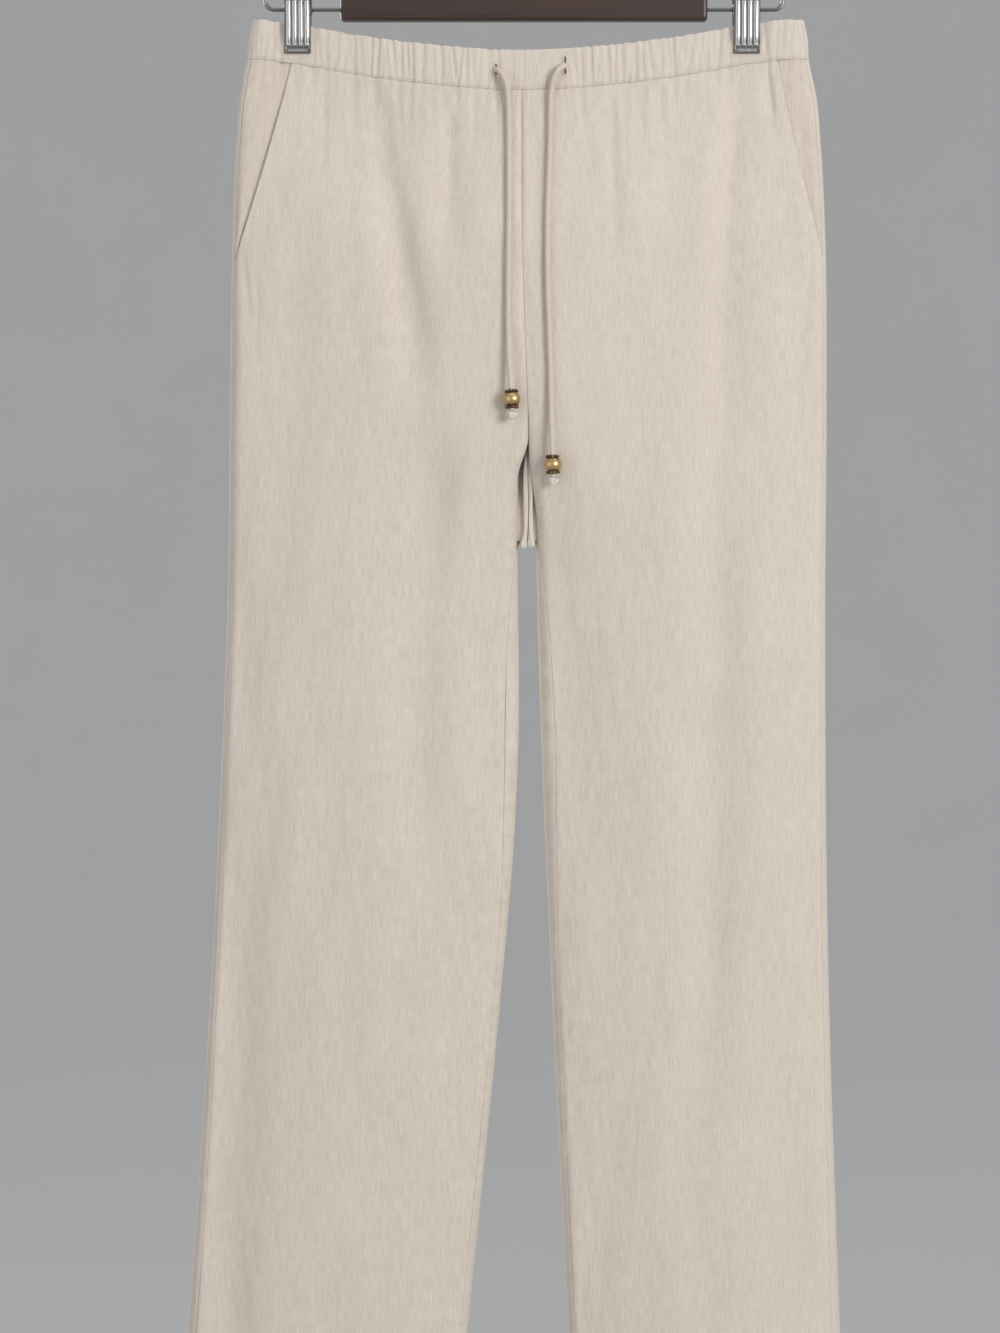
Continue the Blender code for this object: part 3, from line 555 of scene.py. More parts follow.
def crease_relief(face, x, drop):
    """How far the creases move the cloth out at x."""
    total = np.zeros_like(x)
    for crease in CREASES[face]:
        way = (drop - crease.top) / (crease.end - crease.top)
        if 0 < way < 1:
            a, b, c = crease.top_x, crease.mid_x, crease.end_x
            line_x = a + way * (4 * b - 3 * a - c) + way * way * (2 * a + 2 * c - 4 * b)
            if crease.top <= 40:  # it starts at the waistband
                strength = (1 - step(0.35, 1.0, way)) * step(BAND_HEIGHT - 2, BAND_HEIGHT + 20, drop)
            else:
                strength = step(0.0, 0.12, way) * (1 - step(0.45, 1.0, way))
            total -= crease.depth * float(strength) * bell(x - line_x, crease.width)
    return total


def gather_relief(face, x, drop):
    """The gathers at x, whole on the waistband and fading down the panel."""
    total = np.zeros_like(x)
    below = max(0.0, drop - BAND_HEIGHT)
    for at, lean, width, size, reach in GATHERS[face]:
        fade = (1 + 0.4 * float(step(0, 14, below))) * math.exp(-((below / reach) ** 2) * 1.2)
        if fade > 0.02:
            line_x = at + lean * (drop - 16) / 16
            total -= size * fade * bell(x - line_x, width * (1 + below / 80))
    return total


def seam_pucker(face, x, drop):
    """The small uneven puckers where the panels are gathered into the waistband."""
    from_seam = drop - BAND_HEIGHT
    puckers = PUCKER_SIZE * uneven(PUCKER[face], x, drop) * bell(from_seam, 8)
    return puckers - PULLED_IN * bell(from_seam, 1.5)


def seam_relief(side, face, x, drop):
    """The pressed lines and small puckers along the side seam, the inseam and the centre seam."""
    pucker = 0.3 * math.sin(drop / 2.3 + 2 * math.sin(drop / 17.0))
    pucker *= 0.6 + 0.4 * math.sin(drop / 41.0)
    lines = [(side_seam(side, drop, 0), 0.35)]
    if drop > CROTCH:
        inseam = inner_x(side, face, drop) + side * along(SEAM_INSET, "inseam", drop)
        lines.append((inseam, 0.3))
    else:
        above_fork = float(1 - step(FORK - 60, FORK - 20, drop)) if face == "front" else 1.0
        lines.append((float(along(CENTRE, "x", drop)), 0.8 * above_fork))
    total = np.zeros_like(x)
    for line_x, share in lines:
        total -= share * (0.38 * bell(x - line_x, 1.5) - pucker * bell(x - line_x, 5.0))
    if drop > HEM - 40:
        total -= 0.5 * bell(drop - (HEM - HEM_TURN), 1.6)
    return total


def relief(side, face, x, drop):
    """How far a panel's outside stands out of the plain form at x, in millimetres."""
    outer, inner = outer_x(side, drop), inner_x(side, face, drop)
    parting = FORK if face == "front" else CROTCH - 16
    at_inner = 1 - step(parting - 60, parting - 20, drop) * (1 - step(1, 14, np.abs(x - inner)))
    from_fold = step(1, 16, np.abs(outer - x)) * at_inner
    soft = crease_relief(face, x, drop) + gather_relief(face, x, drop)
    soft += SLACK_SIZE * uneven(SLACK[face], x, drop) * float(step(50, 200, drop))
    soft += CRUMPLE_SIZE * uneven(CRUMPLE[face], x, drop)
    soft += seam_pucker(face, x, drop)
    return soft * from_fold + seam_relief(side, face, x, drop)


def band_relief(face, x, drop):
    """The waistband's gathers, which flatten in the clips and at the stitched middle."""
    outer = np.where(x > 0, outer_x(LEFT, drop), outer_x(RIGHT, drop))
    loose = step(9, 16, from_clip(x)) * step(1, 9, np.abs(outer - x))
    fullness = math.sin(math.pi * min(1, drop / BAND_HEIGHT))
    total = gather_relief(face, x, drop) * (1.0 + 0.4 * fullness) + 0.5 * fullness
    total += 0.2 * uneven(CRUMPLE[face], x, drop) + seam_pucker(face, x, drop)
    total *= loose
    if face == "front":
        for line_x in STITCHED_LINES:
            total -= 0.55 * bell(x - line_x, 0.9)
    return total


# ---------------------------------------------------------------- meshes


def add_object(name, data):
    obj = bpy.data.objects.new(name, data)
    bpy.context.scene.collection.objects.link(obj)
    return obj


def make_mesh(name, verts, faces, finish):
    """A smooth mesh with its normals facing out. Its points are in metres."""
    mesh = bpy.data.meshes.new(name)
    mesh.from_pydata(verts.tolist(), [], faces)
    bm = bmesh.new()
    bm.from_mesh(mesh)
    bmesh.ops.recalc_face_normals(bm, faces=bm.faces)
    bm.to_mesh(mesh)
    bm.free()
    mesh.shade_smooth()
    mesh.materials.append(finish)
    return mesh


def set_cloth(mesh, places):
    """Keeps what the materials read at each point: its place on the flat cloth, a bead's wear, or a
    clip's painted highlights and shade.
    """
    data = mesh.attributes.new("cloth", "FLOAT_VECTOR", "POINT")
    data.data.foreach_set("vector", places.astype(np.float32).ravel())


def add_piece(name, verts, faces, places, finish):
    """A piece from arrays. It replaces the CAD node of its name, where there is one."""
    mesh = make_mesh("visual_" + name, verts * MM, faces, finish)
    set_cloth(mesh, places * MM)
    piece = add_object("visual_" + name, mesh)
    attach(piece, "root")
    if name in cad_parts:
        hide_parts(name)
    return piece


def ring_faces(rings, count, looped=False):
    """Faces between rings of points, and from the last ring to the first where they are looped."""
    faces = []
    for ring in range(rings if looped else rings - 1):
        here, there = ring * count, (ring + 1) % rings * count
        for i in range(count):
            j = (i + 1) % count
            faces.append((here + i, here + j, there + j, there + i))
    return faces


def end_faces(rings, count):
    return [tuple(range(count)), tuple(range((rings - 1) * count, rings * count))]


def there_and_back(outside, inside):
    """A closed section from a wall's outside and inside."""
    return np.concatenate([outside, inside[::-1]])


def columns_of(*values):
    """Points from arrays and plain numbers."""
    return np.column_stack(np.broadcast_arrays(*values))


def wall_section(points, normals, inset, wall, z):
    """A section of a wall whose outside is inset from the points."""
    outside, inside = (points - normals * (depth_in * np.ones(len(points)))[:, None]
                       for depth_in in (inset, inset + wall))
    return there_and_back(columns_of(*outside.T, z), columns_of(*inside.T, z))


def add_shell(name, sections, places, finish):
    """A closed wall through sections, each its outside and then its inside."""
    count = len(sections[0])
    faces = ring_faces(len(sections), count)
    for end in (0, (len(sections) - 1) * count):
        for i in range(count // 2 - 1):
            faces.append((end + i, end + i + 1, end + count - 2 - i, end + count - 1 - i))
    return add_piece(name, np.concatenate(sections), faces, np.concatenate(places), finish)


def circle(sides):
    return np.linspace(0, 2 * np.pi, sides, endpoint=False)


def ways_round(line):
    """The direction of a closed line at each of its points."""
    return unit(np.roll(line, -1, axis=0) - np.roll(line, 1, axis=0))


def tube_rings(line, across, up, radius_at, sides):
    """Rings of points round a line."""
    angles, lengths, rings = circle(sides), arc(line), []
    for k, centre in enumerate(line):
        radii = radius_at(k, lengths[k], angles)
        ring = np.outer(radii * np.cos(angles), across[k]) + np.outer(radii * np.sin(angles), up[k])
        rings.append(centre + ring)
    return np.concatenate(rings)


def add_tube(name, line, radius_at, sides, finish):
    """A tube round an open line, with flat ends."""
    tangents = unit(np.gradient(line, axis=0))
    across = unit(np.cross(tangents, (1.0, 0.0, 0.0)))
    verts = tube_rings(line, across, np.cross(across, tangents), radius_at, sides)
    faces = ring_faces(len(line), sides) + end_faces(len(line), sides)
    places = [columns_of(circle(sides) * CORD_RADIUS, length, 0.0) for length in arc(line)]
    return add_piece(name, verts, faces, np.concatenate(places), finish)


# ---------------------------------------------------------------- cloth pieces


def section_drops(last, fine_until=90, coarse=4.2):
    """Where a piece's sections are, closest together below the waistband."""
    fine = 2.0
    drops, drop = [], BAND_HEIGHT + BAND_GAP
    while drop < last - 0.5:
        drops.append(drop)
        drop += fine + (coarse - fine) * float(step(fine_until, fine_until + 120, drop))
    return drops + [last]


def add_panel(side, face, columns):
    """A front or back panel, with its edges drawn thin and its hem doubled."""
    line_of = front_line if face == "front" else back_line
    t = np.linspace(0, 1, columns + 1)
    shares = t - 0.105 * np.sin(2 * np.pi * t)  # closest together at the two ends
    inset, share_left = np.zeros(columns + 1), np.ones(columns + 1)
    inset[[0, -1]] = 0.06
    share_left[[0, -1]] = 0.8
    sections, places = [], []
    for drop in section_drops(HEM):
        points, normals = resample(line_of(side, drop), -side * FACES[face], shares)
        points = points + normals * relief(side, face, points[:, 0], drop)[:, None]
        doubled = 1 + 0.9 * (drop > HEM - HEM_TURN)
        wall = LINEN_THICKNESS * doubled * (0.4 + 0.6 * float(step(0, 5, HEM - drop)))
        z = height(points[:, 0], drop)
        sections.append(wall_section(points, normals, wall * inset, wall * share_left, z))
        flat = columns_of(points[:, 0] + side * points[:, 1], drop, side)
        places.append(there_and_back(flat, flat))
    return add_shell(f"{face}_{SIDES[side]}", sections, places, LINEN)


def add_pocket_facing(side):
    """The cloth inside the slanted pocket edge, which sinks under the front panel."""
    shares = np.linspace(0, 1, 27)
    sections, places = [], []
    for drop in section_drops(POCKET_END + POCKET_TAIL, 300, 2.0):
        seam, edge = side_seam(side, drop, GAP / 2), pocket_x(side, drop)
        line = face_line(side, "front", drop, seam, edge - side * POCKET_OVERLAP)
        points, normals = resample(line, side, shares)
        rise = min(FACING_RISE, max(1.0, 0.8 * (seam - edge) * side))
        level = step(0, rise, (points[:, 0] - edge) * side)
        under = FACING_UNDER + FACING_SLACK[side] * step(BAND_HEIGHT, 90, drop)
        tuck = under + (FACING_TUCK - under) * level
        points = points + normals * relief(side, "front", points[:, 0], drop)[:, None]
        z = height(points[:, 0], drop)
        sections.append(wall_section(points, normals, tuck, LINEN_THICKNESS, z))
        flat = columns_of(shares * arc(line)[-1] + 40, drop, side)
        places.append(there_and_back(flat, flat))
    name = f"pocket_facing_{SIDES[side]}"
    # Painted shade: the facing is the same linen as the panels, painted darker under the pocket edge.
    return add_shell(name, sections, places, LINEN_FACING_PAINTED_DARKER)


def add_band(face):
    """The waistband, folded over at its top edge."""
    shares = np.linspace(0, 1, 421)
    half = BAND_THICKNESS / 2
    profile = [(drop, 0.0) for drop in np.linspace(BAND_HEIGHT, half, 24)]
    for angle in np.linspace(0.3, math.pi - 0.3, 7):
        profile.append((half - half * math.sin(angle), half - half * math.cos(angle)))
    profile += [(drop, BAND_THICKNESS) for drop in np.linspace(half, BAND_HEIGHT, 14)]
    verts, places = [], []
    for drop, inset in profile:
        level = max(drop, 0.0)
        line = band_line(face, level)
        points, normals = resample(line, FACES[face], shares)
        x = points[:, 0]
        out = band_relief(face, x, level) * (1 - 0.5 * inset / BAND_THICKNESS) - inset
        points = points + normals * out[:, None]
        z = height(x, drop) + 0.6 * gather_relief(face, x, 0.0) * (1 - step(0, 8, drop))
        verts.append(columns_of(*points.T, z))
        places.append(columns_of(shares * arc(line)[-1], drop + inset, 0.0))
    sections, flats = (np.swapaxes(np.array(values), 0, 1) for values in (verts, places))
    return add_shell(f"waistband_{face}", sections, flats, LINEN)


def cut_slit(band, side):
    """Cuts a buttonhole's slit through the waistband, and lays its weave out again."""
    hole = CORD_ROUTES[side][0]
    surface = float(band_depth(np.array([hole.x]))[0])
    bm = bmesh.new()
    bmesh.ops.create_cube(bm, size=1.0)
    bmesh.ops.scale(bm, vec=Vector((SLIT_WIDTH, 14.0, SLIT_HEIGHTS[side])) * MM, verts=bm.verts)
    place = Vector((hole.x, -surface, WAIST_TOP - hole.below)) * MM
    bmesh.ops.translate(bm, vec=place, verts=bm.verts)
    mesh = bpy.data.meshes.new("slit")
    bm.to_mesh(mesh)
    bm.free()
    cutter = add_object("slit", mesh)
    boolean = band.modifiers.new("slit", "BOOLEAN")
    boolean.operation = "DIFFERENCE"
    boolean.solver = "EXACT"
    boolean.object = cutter
    graph = bpy.context.evaluated_depsgraph_get()
    band_mesh = bpy.data.meshes.new_from_object(band.evaluated_get(graph))
    band.modifiers.clear()
    band.data = band_mesh
    bpy.data.objects.remove(cutter)
    if "cloth" in band_mesh.attributes:
        band_mesh.attributes.remove(band_mesh.attributes["cloth"])
    points = np.array([vert.co[:] for vert in band_mesh.vertices])
    set_cloth(band_mesh, columns_of(points[:, 0], WAIST_TOP * MM - points[:, 2], 0.0))


def add_binding(side):
    """The thread wound round a buttonhole's edge."""
    hole = CORD_ROUTES[side][0]
    half_wide = SLIT_WIDTH / 2 + 0.6
    half_high = SLIT_HEIGHTS[side] / 2 + 0.6 - half_wide
    outline = []
    for first, centre in ((0, half_high), (180, -half_high)):
        for angle in np.radians(np.linspace(first, first + 180, 15)):
            outline.append((half_wide * math.cos(angle), 0.0, centre + half_wide * math.sin(angle)))
    outline.append(outline[0])
    line = []
    for x, _, z in spaced(np.array(outline), 0.32)[:-1]:
        at = np.array([hole.x + x])
        drop = min(drop_at(at[0], hole.below - z), BAND_HEIGHT)
        y = -depth(side, "front", drop, at)[0] - band_relief("front", at, drop)[0]
        line.append((at[0], y - 0.15, WAIST_TOP - hole.below + z))
    line, out = np.array(line), np.array((0.0, -1.0, 0.0))
    across, up = 1.2 * np.cross(ways_round(line), out), np.tile(0.8 * out, (len(line), 1))
    wound = tube_rings(line, across, up, lambda k, *_: 0.62 + 0.13 * math.sin(k * math.pi / 1.5), 10)
    faces = ring_faces(len(line), 10, looped=True)
    add_piece(f"buttonhole_{SIDES[side]}", wound, faces, wound, THREAD)


def add_crotch_extension(side):
    """A crotch extension: a thin roll of cloth that ends in its gathered seam."""
    rolls = CROTCH_ROLLS[side]
    route = []
    for roll in rolls:
        forward = step(330, 352, roll.below) * (1 - step(360, 412, roll.below))
        y = roll.y - ROLL_FORWARD[side] * float(forward)
        route.append((roll.x, y, WAIST_TOP - roll.below))
    route = np.array(route)
    line = spaced(smooth_curve(route), 0.8)
    shares = arc(route) / arc(route)[-1]
    sizes = [roll.radius for roll in rolls]

    def radius_at(k, length, angles):
        share = k / (len(line) - 1)
        size = float(np.interp(share, shares, sizes))
        creased = 0.10 * np.sin(2 * angles + length / 9.0 + side)
        creased += 0.05 * np.sin(3 * angles - length / 5.0)
        bunched = 0.16 * float(step(0.88, 0.95, share)) * np.sin(5 * angles + side)
        return size * (1 + creased + bunched) * (1 - 0.35 * float(step(0.985, 1.0, share)))

    # Painted light: the same linen as the panels, painted lighter for the light in the fork.
    add_tube(f"crotch_extension_{SIDES[side]}", line, radius_at, 24, LINEN_PAINTED_LIGHTER)


def add_crotch_allowance(side):
    """The flat part of a crotch extension, which lies behind its roll."""
    shares = np.linspace(0, 1, 9)
    sections, places = [], []
    for below in np.linspace(336, 417, 40):
        width = ALLOWANCE_WIDTH[side] + 0.25 * math.sin(below / 7.0 + side)
        x = ALLOWANCE_MIDDLE + side * (0.15 + shares * width)
        y = -5.4 + 0.3 * np.sin(shares * 5 + below / 12.0)
        z = WAIST_TOP - below
        sections.append(there_and_back(columns_of(x, y - 0.4, z), columns_of(x, y + 0.4, z)))
        flat = columns_of(x, z, 0.0)
        places.append(there_and_back(flat, flat))
    # Painted light: the same linen as the panels, painted lighter for the light in the fork.
    add_shell(f"crotch_allowance_{SIDES[side]}", sections, places, LINEN_PAINTED_LIGHTER)


def add_stitches(name, line, drop, sign, relief_of):
    """A row of short stitches that lie across a piece at a drop."""
    length = arc(line)[-1]
    starts = 4 + STITCH_PITCH * np.arange(int((length - 8) / STITCH_PITCH))
    shares = np.sort(np.concatenate([starts, starts + STITCH_LENGTH])) / length
    points, normals = resample(line, sign, shares)
    points = points + normals * relief_of(points[:, 0])[:, None]
    points = columns_of(*points.T, height(points[:, 0], drop))
    normals = columns_of(*normals.T, 0.0)
    sides = 6
    angles = circle(sides)
    stitch = ring_faces(len(STITCH_RINGS), sides) + end_faces(len(STITCH_RINGS), sides)
    verts, faces = [], []
    for start, end, normal in zip(points[::2], points[1::2], normals[::2]):
        way = (end - start) / np.linalg.norm(end - start)
        across = np.cross(way, normal)
        across /= np.linalg.norm(across)
        up = np.cross(across, way)
        base = len(verts) * sides
        faces += [tuple(base + i for i in face) for face in stitch]
        for share, size, lift in STITCH_RINGS:
            around = np.outer(np.cos(angles), across) + np.outer(np.sin(angles), up)
            verts.append(start + (end - start) * share + up * lift + STITCH_RADIUS * size * around)
    verts = np.concatenate(verts)
    add_piece(name, verts, faces, verts, THREAD)


def add_hem_stitches(side, face):
    drop = HEM - HEM_TURN
    line = front_line(side, drop) if face == "front" else back_line(side, drop)
    add_stitches(f"hem_stitches_{face}_{SIDES[side]}", line, drop, -side * FACES[face],
                 lambda x: relief(side, face, x, drop) + 0.4)


def add_band_stitches(face):
    drop = BAND_HEIGHT - 2.2
    add_stitches(f"waistband_stitches_{face}", band_line(face, drop), drop, FACES[face],
                 lambda x: band_relief(face, x, drop) + 0.17)


# ---------------------------------------------------------------- cords, beads and clips


def cord_line(side):
    """The drawstring's route, laid on the creased cloth."""
    knots = []
    for point in CORD_ROUTES[side]:
        drop = drop_at(point.x, point.below)
        at = np.array([point.x])
        surface = depth(side, "front", drop, at)[0]
        if drop > BAND_HEIGHT:
            surface += max(0.0, float(relief(side, "front", at, drop)[0]))
        knots.append((point.x, -surface - point.lift, WAIST_TOP - point.below))
    return spaced(smooth_curve(np.array(knots)), 1.1)


def add_cord(side, line):
    """A free end of the drawstring: a soft round cord of the same linen, painted a little darker as
    shade against the light it catches.
    """
    seam_angle = 1.1 if side == LEFT else 2.2

    def radius_at(k, length, angles):
        size = 1 + 0.03 * math.sin(length / 5.1 + side) + 0.02 * math.sin(length / 2.3)
        return CORD_RADIUS * size - 0.28 * bell(angles - seam_angle, 0.35)

    return add_tube(f"drawstring_{SIDES[side]}", line, radius_at, 20, CORD_PAINTED_DARKER)


def ball(centre, radius):
    bm = bmesh.new()
    bmesh.ops.create_icosphere(bm, subdivisions=2, radius=radius)
    verts = np.array([vert.co[:] for vert in bm.verts]) + centre
    faces = [tuple(vert.index for vert in face.verts) for face in bm.faces]
    bm.free()
    return verts, faces


def add_bead(side, line):
    """A barrel bead between two rings of small grains. Its wear is brightest at its belly."""
    half = BEAD_HEIGHT / 2
    middle = WAIST_TOP - BEAD_BELOW[side]
    top, bottom = (line[int(np.argmin(np.abs(line[:, 2] - middle - end)))] for end in (half, -half))
    rim = [(2.9, half), (3.9, half), (4.4, half - 0.5), (4.5, half - 1.6), (4.2, half - 2.3)]
    profile = list(rim)
    for angle in np.linspace(0.9, -0.9, 19):
        profile.append((BEAD_RADIUS * math.cos(angle), (half - 2.4) * math.sin(angle) / math.sin(0.9)))
    profile += [(radius, -z) for radius, z in reversed(rim)]
    sides = 40
    angles = circle(sides)
    verts = [columns_of(radius * np.cos(angles), radius * np.sin(angles), z) for radius, z in profile]
    faces = ring_faces(len(profile), sides, looped=True)
    wear_and_painted_light = [np.full(sides, np.clip(1.05 - (abs(z) / (half - 2.2)) ** 3, 0, 1)) for _, z in profile]
    for end in (1, -1):
        for i in range(GRAINS):
            angle = 2 * math.pi * (i + 0.5 * (end > 0)) / GRAINS
            centre = (4.5 * math.cos(angle), 4.5 * math.sin(angle), end * (half - 1.25))
            grain_verts, grain_faces = ball(centre, GRAIN_RADIUS)
            base = sum(len(part) for part in verts)
            faces += [tuple(base + k for k in face) for face in grain_faces]
            verts.append(grain_verts)
            wear_and_painted_light.append(np.full(len(grain_verts), 0.22))
    turn = Vector(top - bottom).normalized().to_track_quat("Z", "Y").to_matrix()
    placed = np.concatenate(verts) @ np.array(turn).T + (top + bottom) / 2
    wear_and_painted_light = columns_of(np.concatenate(wear_and_painted_light), 0.0, 0.0)
    return add_piece(f"bead_{SIDES[side]}", placed, faces, wear_and_painted_light / MM, BRASS)


def add_knot(side, line):
    """A stopper knot: the cord's end drawn up in an overhand knot."""
    t = circle(120)
    x = np.sin(t) + 2 * np.sin(2 * t)
    y = np.cos(t) - 2 * np.cos(2 * t)
    z = -np.sin(3 * t)
    end = line[-1] + (line[-1] - line[-2]) / np.linalg.norm(line[-1] - line[-2]) * 3.2
    loop = end + np.column_stack([x * 0.80, z * 1.05, y * 0.56])
    ways = ways_round(loop)
    across = unit(np.cross(ways, (0.0, 1.0, 0.15)))

    def radius_at(k, length, angles):
        return 2.1 + 0.05 * np.sin(6 * angles + k * 0.5)

    sides = 16
    verts = tube_rings(loop, across, np.cross(across, ways), radius_at, sides)
    faces = ring_faces(len(loop), sides, looped=True)
    places = [columns_of(circle(sides) * 2.0, k * 0.2, 0.0) for k in range(len(loop))]
    places = np.concatenate(places)
    # Painted light: the knot is the cord's own linen, painted lighter as a highlight.
    return add_piece(f"knot_{SIDES[side]}", verts, faces, places, KNOT_PAINTED_LIGHTER)


def add_drawstring(side):
    """A free cord end with its bead and its knot."""
    line = cord_line(side)
    cord = add_cord(side, line)
    bead = add_bead(side, line)
    knot = add_knot(side, line)


def rib_height(x, z):
    """How far the ribs stand out of a jaw at x from its middle and at a height."""
    nearest = np.clip(np.round(x / RIB_SPACING - 0.5), -2, 1) + 0.5
    across = np.abs(x - nearest * RIB_SPACING) / RIB_HALF_WIDTH
    round_top = np.sqrt(np.clip(1 - across**2, 0, 1))
    ends = step(RIB_BOTTOM, RIB_BOTTOM + RIB_END, z) * (1 - step(RIB_TOP - RIB_END, RIB_TOP, z))
    return RIB_HEIGHT * round_top * ends


def add_jaw(side, face):
    """One jaw of a clip: a bent plate with four ribs, over a plain lip, with painted highlights and
    shade.
    """
    bottom, top = JAW_LINE[0].height, JAW_LINE[-1].height
    x = np.linspace(-CLIP_WIDTH / 2, CLIP_WIDTH / 2, 73)
    from_edge = CLIP_WIDTH / 2 - np.abs(x)
    edge = 0.5 * (1 - step(0, 0.8, from_edge))
    rim = 0.5 * bell(from_edge - 0.8, 0.5)
    smooth = smooth_curve(np.array([(jaw.out, 0, jaw.height) for jaw in JAW_LINE]))
    levels = np.concatenate([
        np.linspace(bottom, RIB_BOTTOM - 0.6, 6),
        np.linspace(RIB_BOTTOM - 0.6, RIB_BOTTOM + 3, 10),
        np.linspace(RIB_BOTTOM + 3, RIB_TOP - 4, 18),
        np.linspace(RIB_TOP - 4, RIB_TOP + 0.5, 12),
        np.linspace(RIB_TOP + 0.5, top, 6),
    ])
    sections, places = [], []
    for z in np.unique(np.round(levels, 3)):
        out = float(np.interp(z, smooth[:, 2], smooth[:, 0]))
        ribs = rib_height(x, z)
        lip = 0.45 * bell(z - bottom - 0.9, 0.8)
        front = columns_of(x, FACES[face] * (out + JAW_WALL + ribs + lip + rim - edge), z)
        back = columns_of(x, FACES[face] * (out + edge), z)
        sections.append(there_and_back(front, back) + (CLIP_X[side], 0, WAIST_TOP))
        # Painted light: the ribs and a bar along the lip are painted bright as highlights, and the
        # plate around and behind them dark as painted shade and painted reflection.
        lip_painted_highlight = step(0, 0.7, from_edge - 2.2) * math.exp(-(((z + 24.9) / 1.1) ** 4))
        rib_painted_light = columns_of(np.maximum(np.clip(ribs / RIB_HEIGHT, 0, 1), 0.75 * lip_painted_highlight), 0.0, 0.0)
        places.append(there_and_back(rib_painted_light, 0 * rib_painted_light) / MM)
    name = f"clip_{SIDES[side]}_{face}_jaw"
    add_shell(name, sections, places, CLIP_STEEL_PAINTED_LIGHT)


def add_spring(side):
    """The clip's coil spring, wound round the wire loop."""
    t = np.linspace(0, 2 * np.pi * SPRING_TURNS, SPRING_TURNS * 26)
    half = SPRING_LENGTH / 2 + 3.4
    x = CLIP_X[side] - half + 2 * half * t / t[-1]
    z = WAIST_TOP + WIRE_ABOVE_WAIST + SPRING_RADIUS * np.sin(t)
    line = np.column_stack([x, SPRING_RADIUS * np.cos(t), z])
    add_tube(f"clip_{SIDES[side]}_spring", line, lambda *_: SPRING_WIRE, 10, DARK_STEEL)


# ---------------------------------------------------------------- materials


class Finish:
    """A material whose colour runs from dark to light."""

    def __init__(self, name, light, dark, roughness, metallic=0.0, **inputs):
        self.light, self.dark = (*light, 1), (*dark, 1)
        self.material = bpy.data.materials.new(name)
        self.material.use_nodes = True
        self.tree = self.material.node_tree
        self.shader = self.tree.nodes["Principled BSDF"]
        self.fill(self.shader, Base_Color=self.light, Roughness=roughness, Metallic=metallic, **inputs)

    def put(self, value, socket):
        if isinstance(value, bpy.types.NodeSocket):
            self.tree.links.new(value, socket)
        else:
            socket.default_value = value

    def fill(self, node, **inputs):
        for name, value in inputs.items():
            self.put(value, node.inputs[name.replace("_", " ")])

    def add(self, kind, **inputs):
        node = self.tree.nodes.new("ShaderNode" + kind)
        self.fill(node, **inputs)
        return node.outputs[0]

    def on_cloth(self):
        """What add_piece keeps at each point."""
        node = self.tree.nodes.new("ShaderNodeAttribute")
        node.attribute_name = "cloth"
        return node.outputs["Vector"]

    def in_object(self):
        return self.tree.nodes.new("ShaderNodeTexCoord").outputs["Object"]

    # For a bead this is its wear; for a clip it is the painted highlight and shade of its ribs and
    # grooves.
    def wear_and_painted_light(self):
        return self.add("SeparateXYZ", Vector=self.on_cloth())

    def noise(self, place, scale, detail):
        """Noise about 0.5, with its scale along each axis."""
        mapped = self.add("Mapping", Vector=place, Scale=scale)
        return self.add("TexNoise", Vector=mapped, Scale=1.0, Detail=detail)

    def spread(self, value, low, high, to_low, to_high):
        """The value with its range from low to high moved to another range."""
        return self.add("MapRange", Value=value, From_Min=low, From_Max=high,
                        To_Min=to_low, To_Max=to_high)

    def combine(self, operation, *values):
        node = self.tree.nodes.new("ShaderNodeMath")
        node.operation = operation
        for value, socket in zip(values, node.inputs):
            self.put(value, socket)
        return node.outputs[0]

    def weighted(self, *terms):
        """The sum of values, each times its weight."""
        total = 0.0
        for value, weight in terms:
            total = self.combine("MULTIPLY_ADD", value, weight, total)
        return total

    def colour(self, factor):
        node = self.tree.nodes.new("ShaderNodeMix")
        node.data_type = "RGBA"
        self.fill(node, A=self.dark, B=self.light, Factor=factor)
        self.fill(self.shader, Base_Color=node.outputs["Result"])

    def roughen(self, factor, low, high, to_low, to_high):
        self.fill(self.shader, Roughness=self.spread(factor, low, high, to_low, to_high))

    def bump(self, heights, strength, distance):
        bump = self.add("Bump", Strength=strength, Distance=distance, Height=heights)
        self.fill(self.shader, Normal=bump)


CLOTH_SHEEN = {"Sheen_Roughness": 0.5, "Specular_IOR_Level": 0.25}


def linen(name, light, dark, seed):
    """Slubby linen: long uneven warp threads, shorter weft threads, and faint broad blotches."""
    made = Finish(name, light, dark, 0.92, Sheen_Weight=0.12, **CLOTH_SHEEN)
    place = made.on_cloth()
    warp = made.noise(place, (700.0, 80.0, 3.0 + seed), 4.0)
    slub = made.noise(place, (260.0, 24.0, 5.0 + seed), 3.0)
    weft = made.noise(place, (60.0, 760.0, 7.0 + seed), 3.0)
    blotch = made.noise(place, (24.0, 12.0, 9.0 + seed), 4.0)
    tone = made.weighted((warp, 0.56), (slub, 0.18), (weft, 0.12), (blotch, 0.14))
    made.colour(made.spread(tone, 0.35, 0.63, 0.0, 1.0))
    made.bump(made.weighted((warp, 0.6), (weft, 0.4), (slub, 0.5)), 0.55, 0.00035)
    return made.material


def thread_cloth(name, light, dark, scale, bump):
    """Cloth or thread that is too small for slubs to show."""
    made = Finish(name, light, dark, 0.88, Sheen_Weight=0.1, **CLOTH_SHEEN)
    tone = made.noise(made.on_cloth(), scale, 3.0)
    made.colour(made.spread(tone, 0.35, 0.62, 0.0, 1.0))
    made.bump(tone, bump, 0.0003)
    return made.material


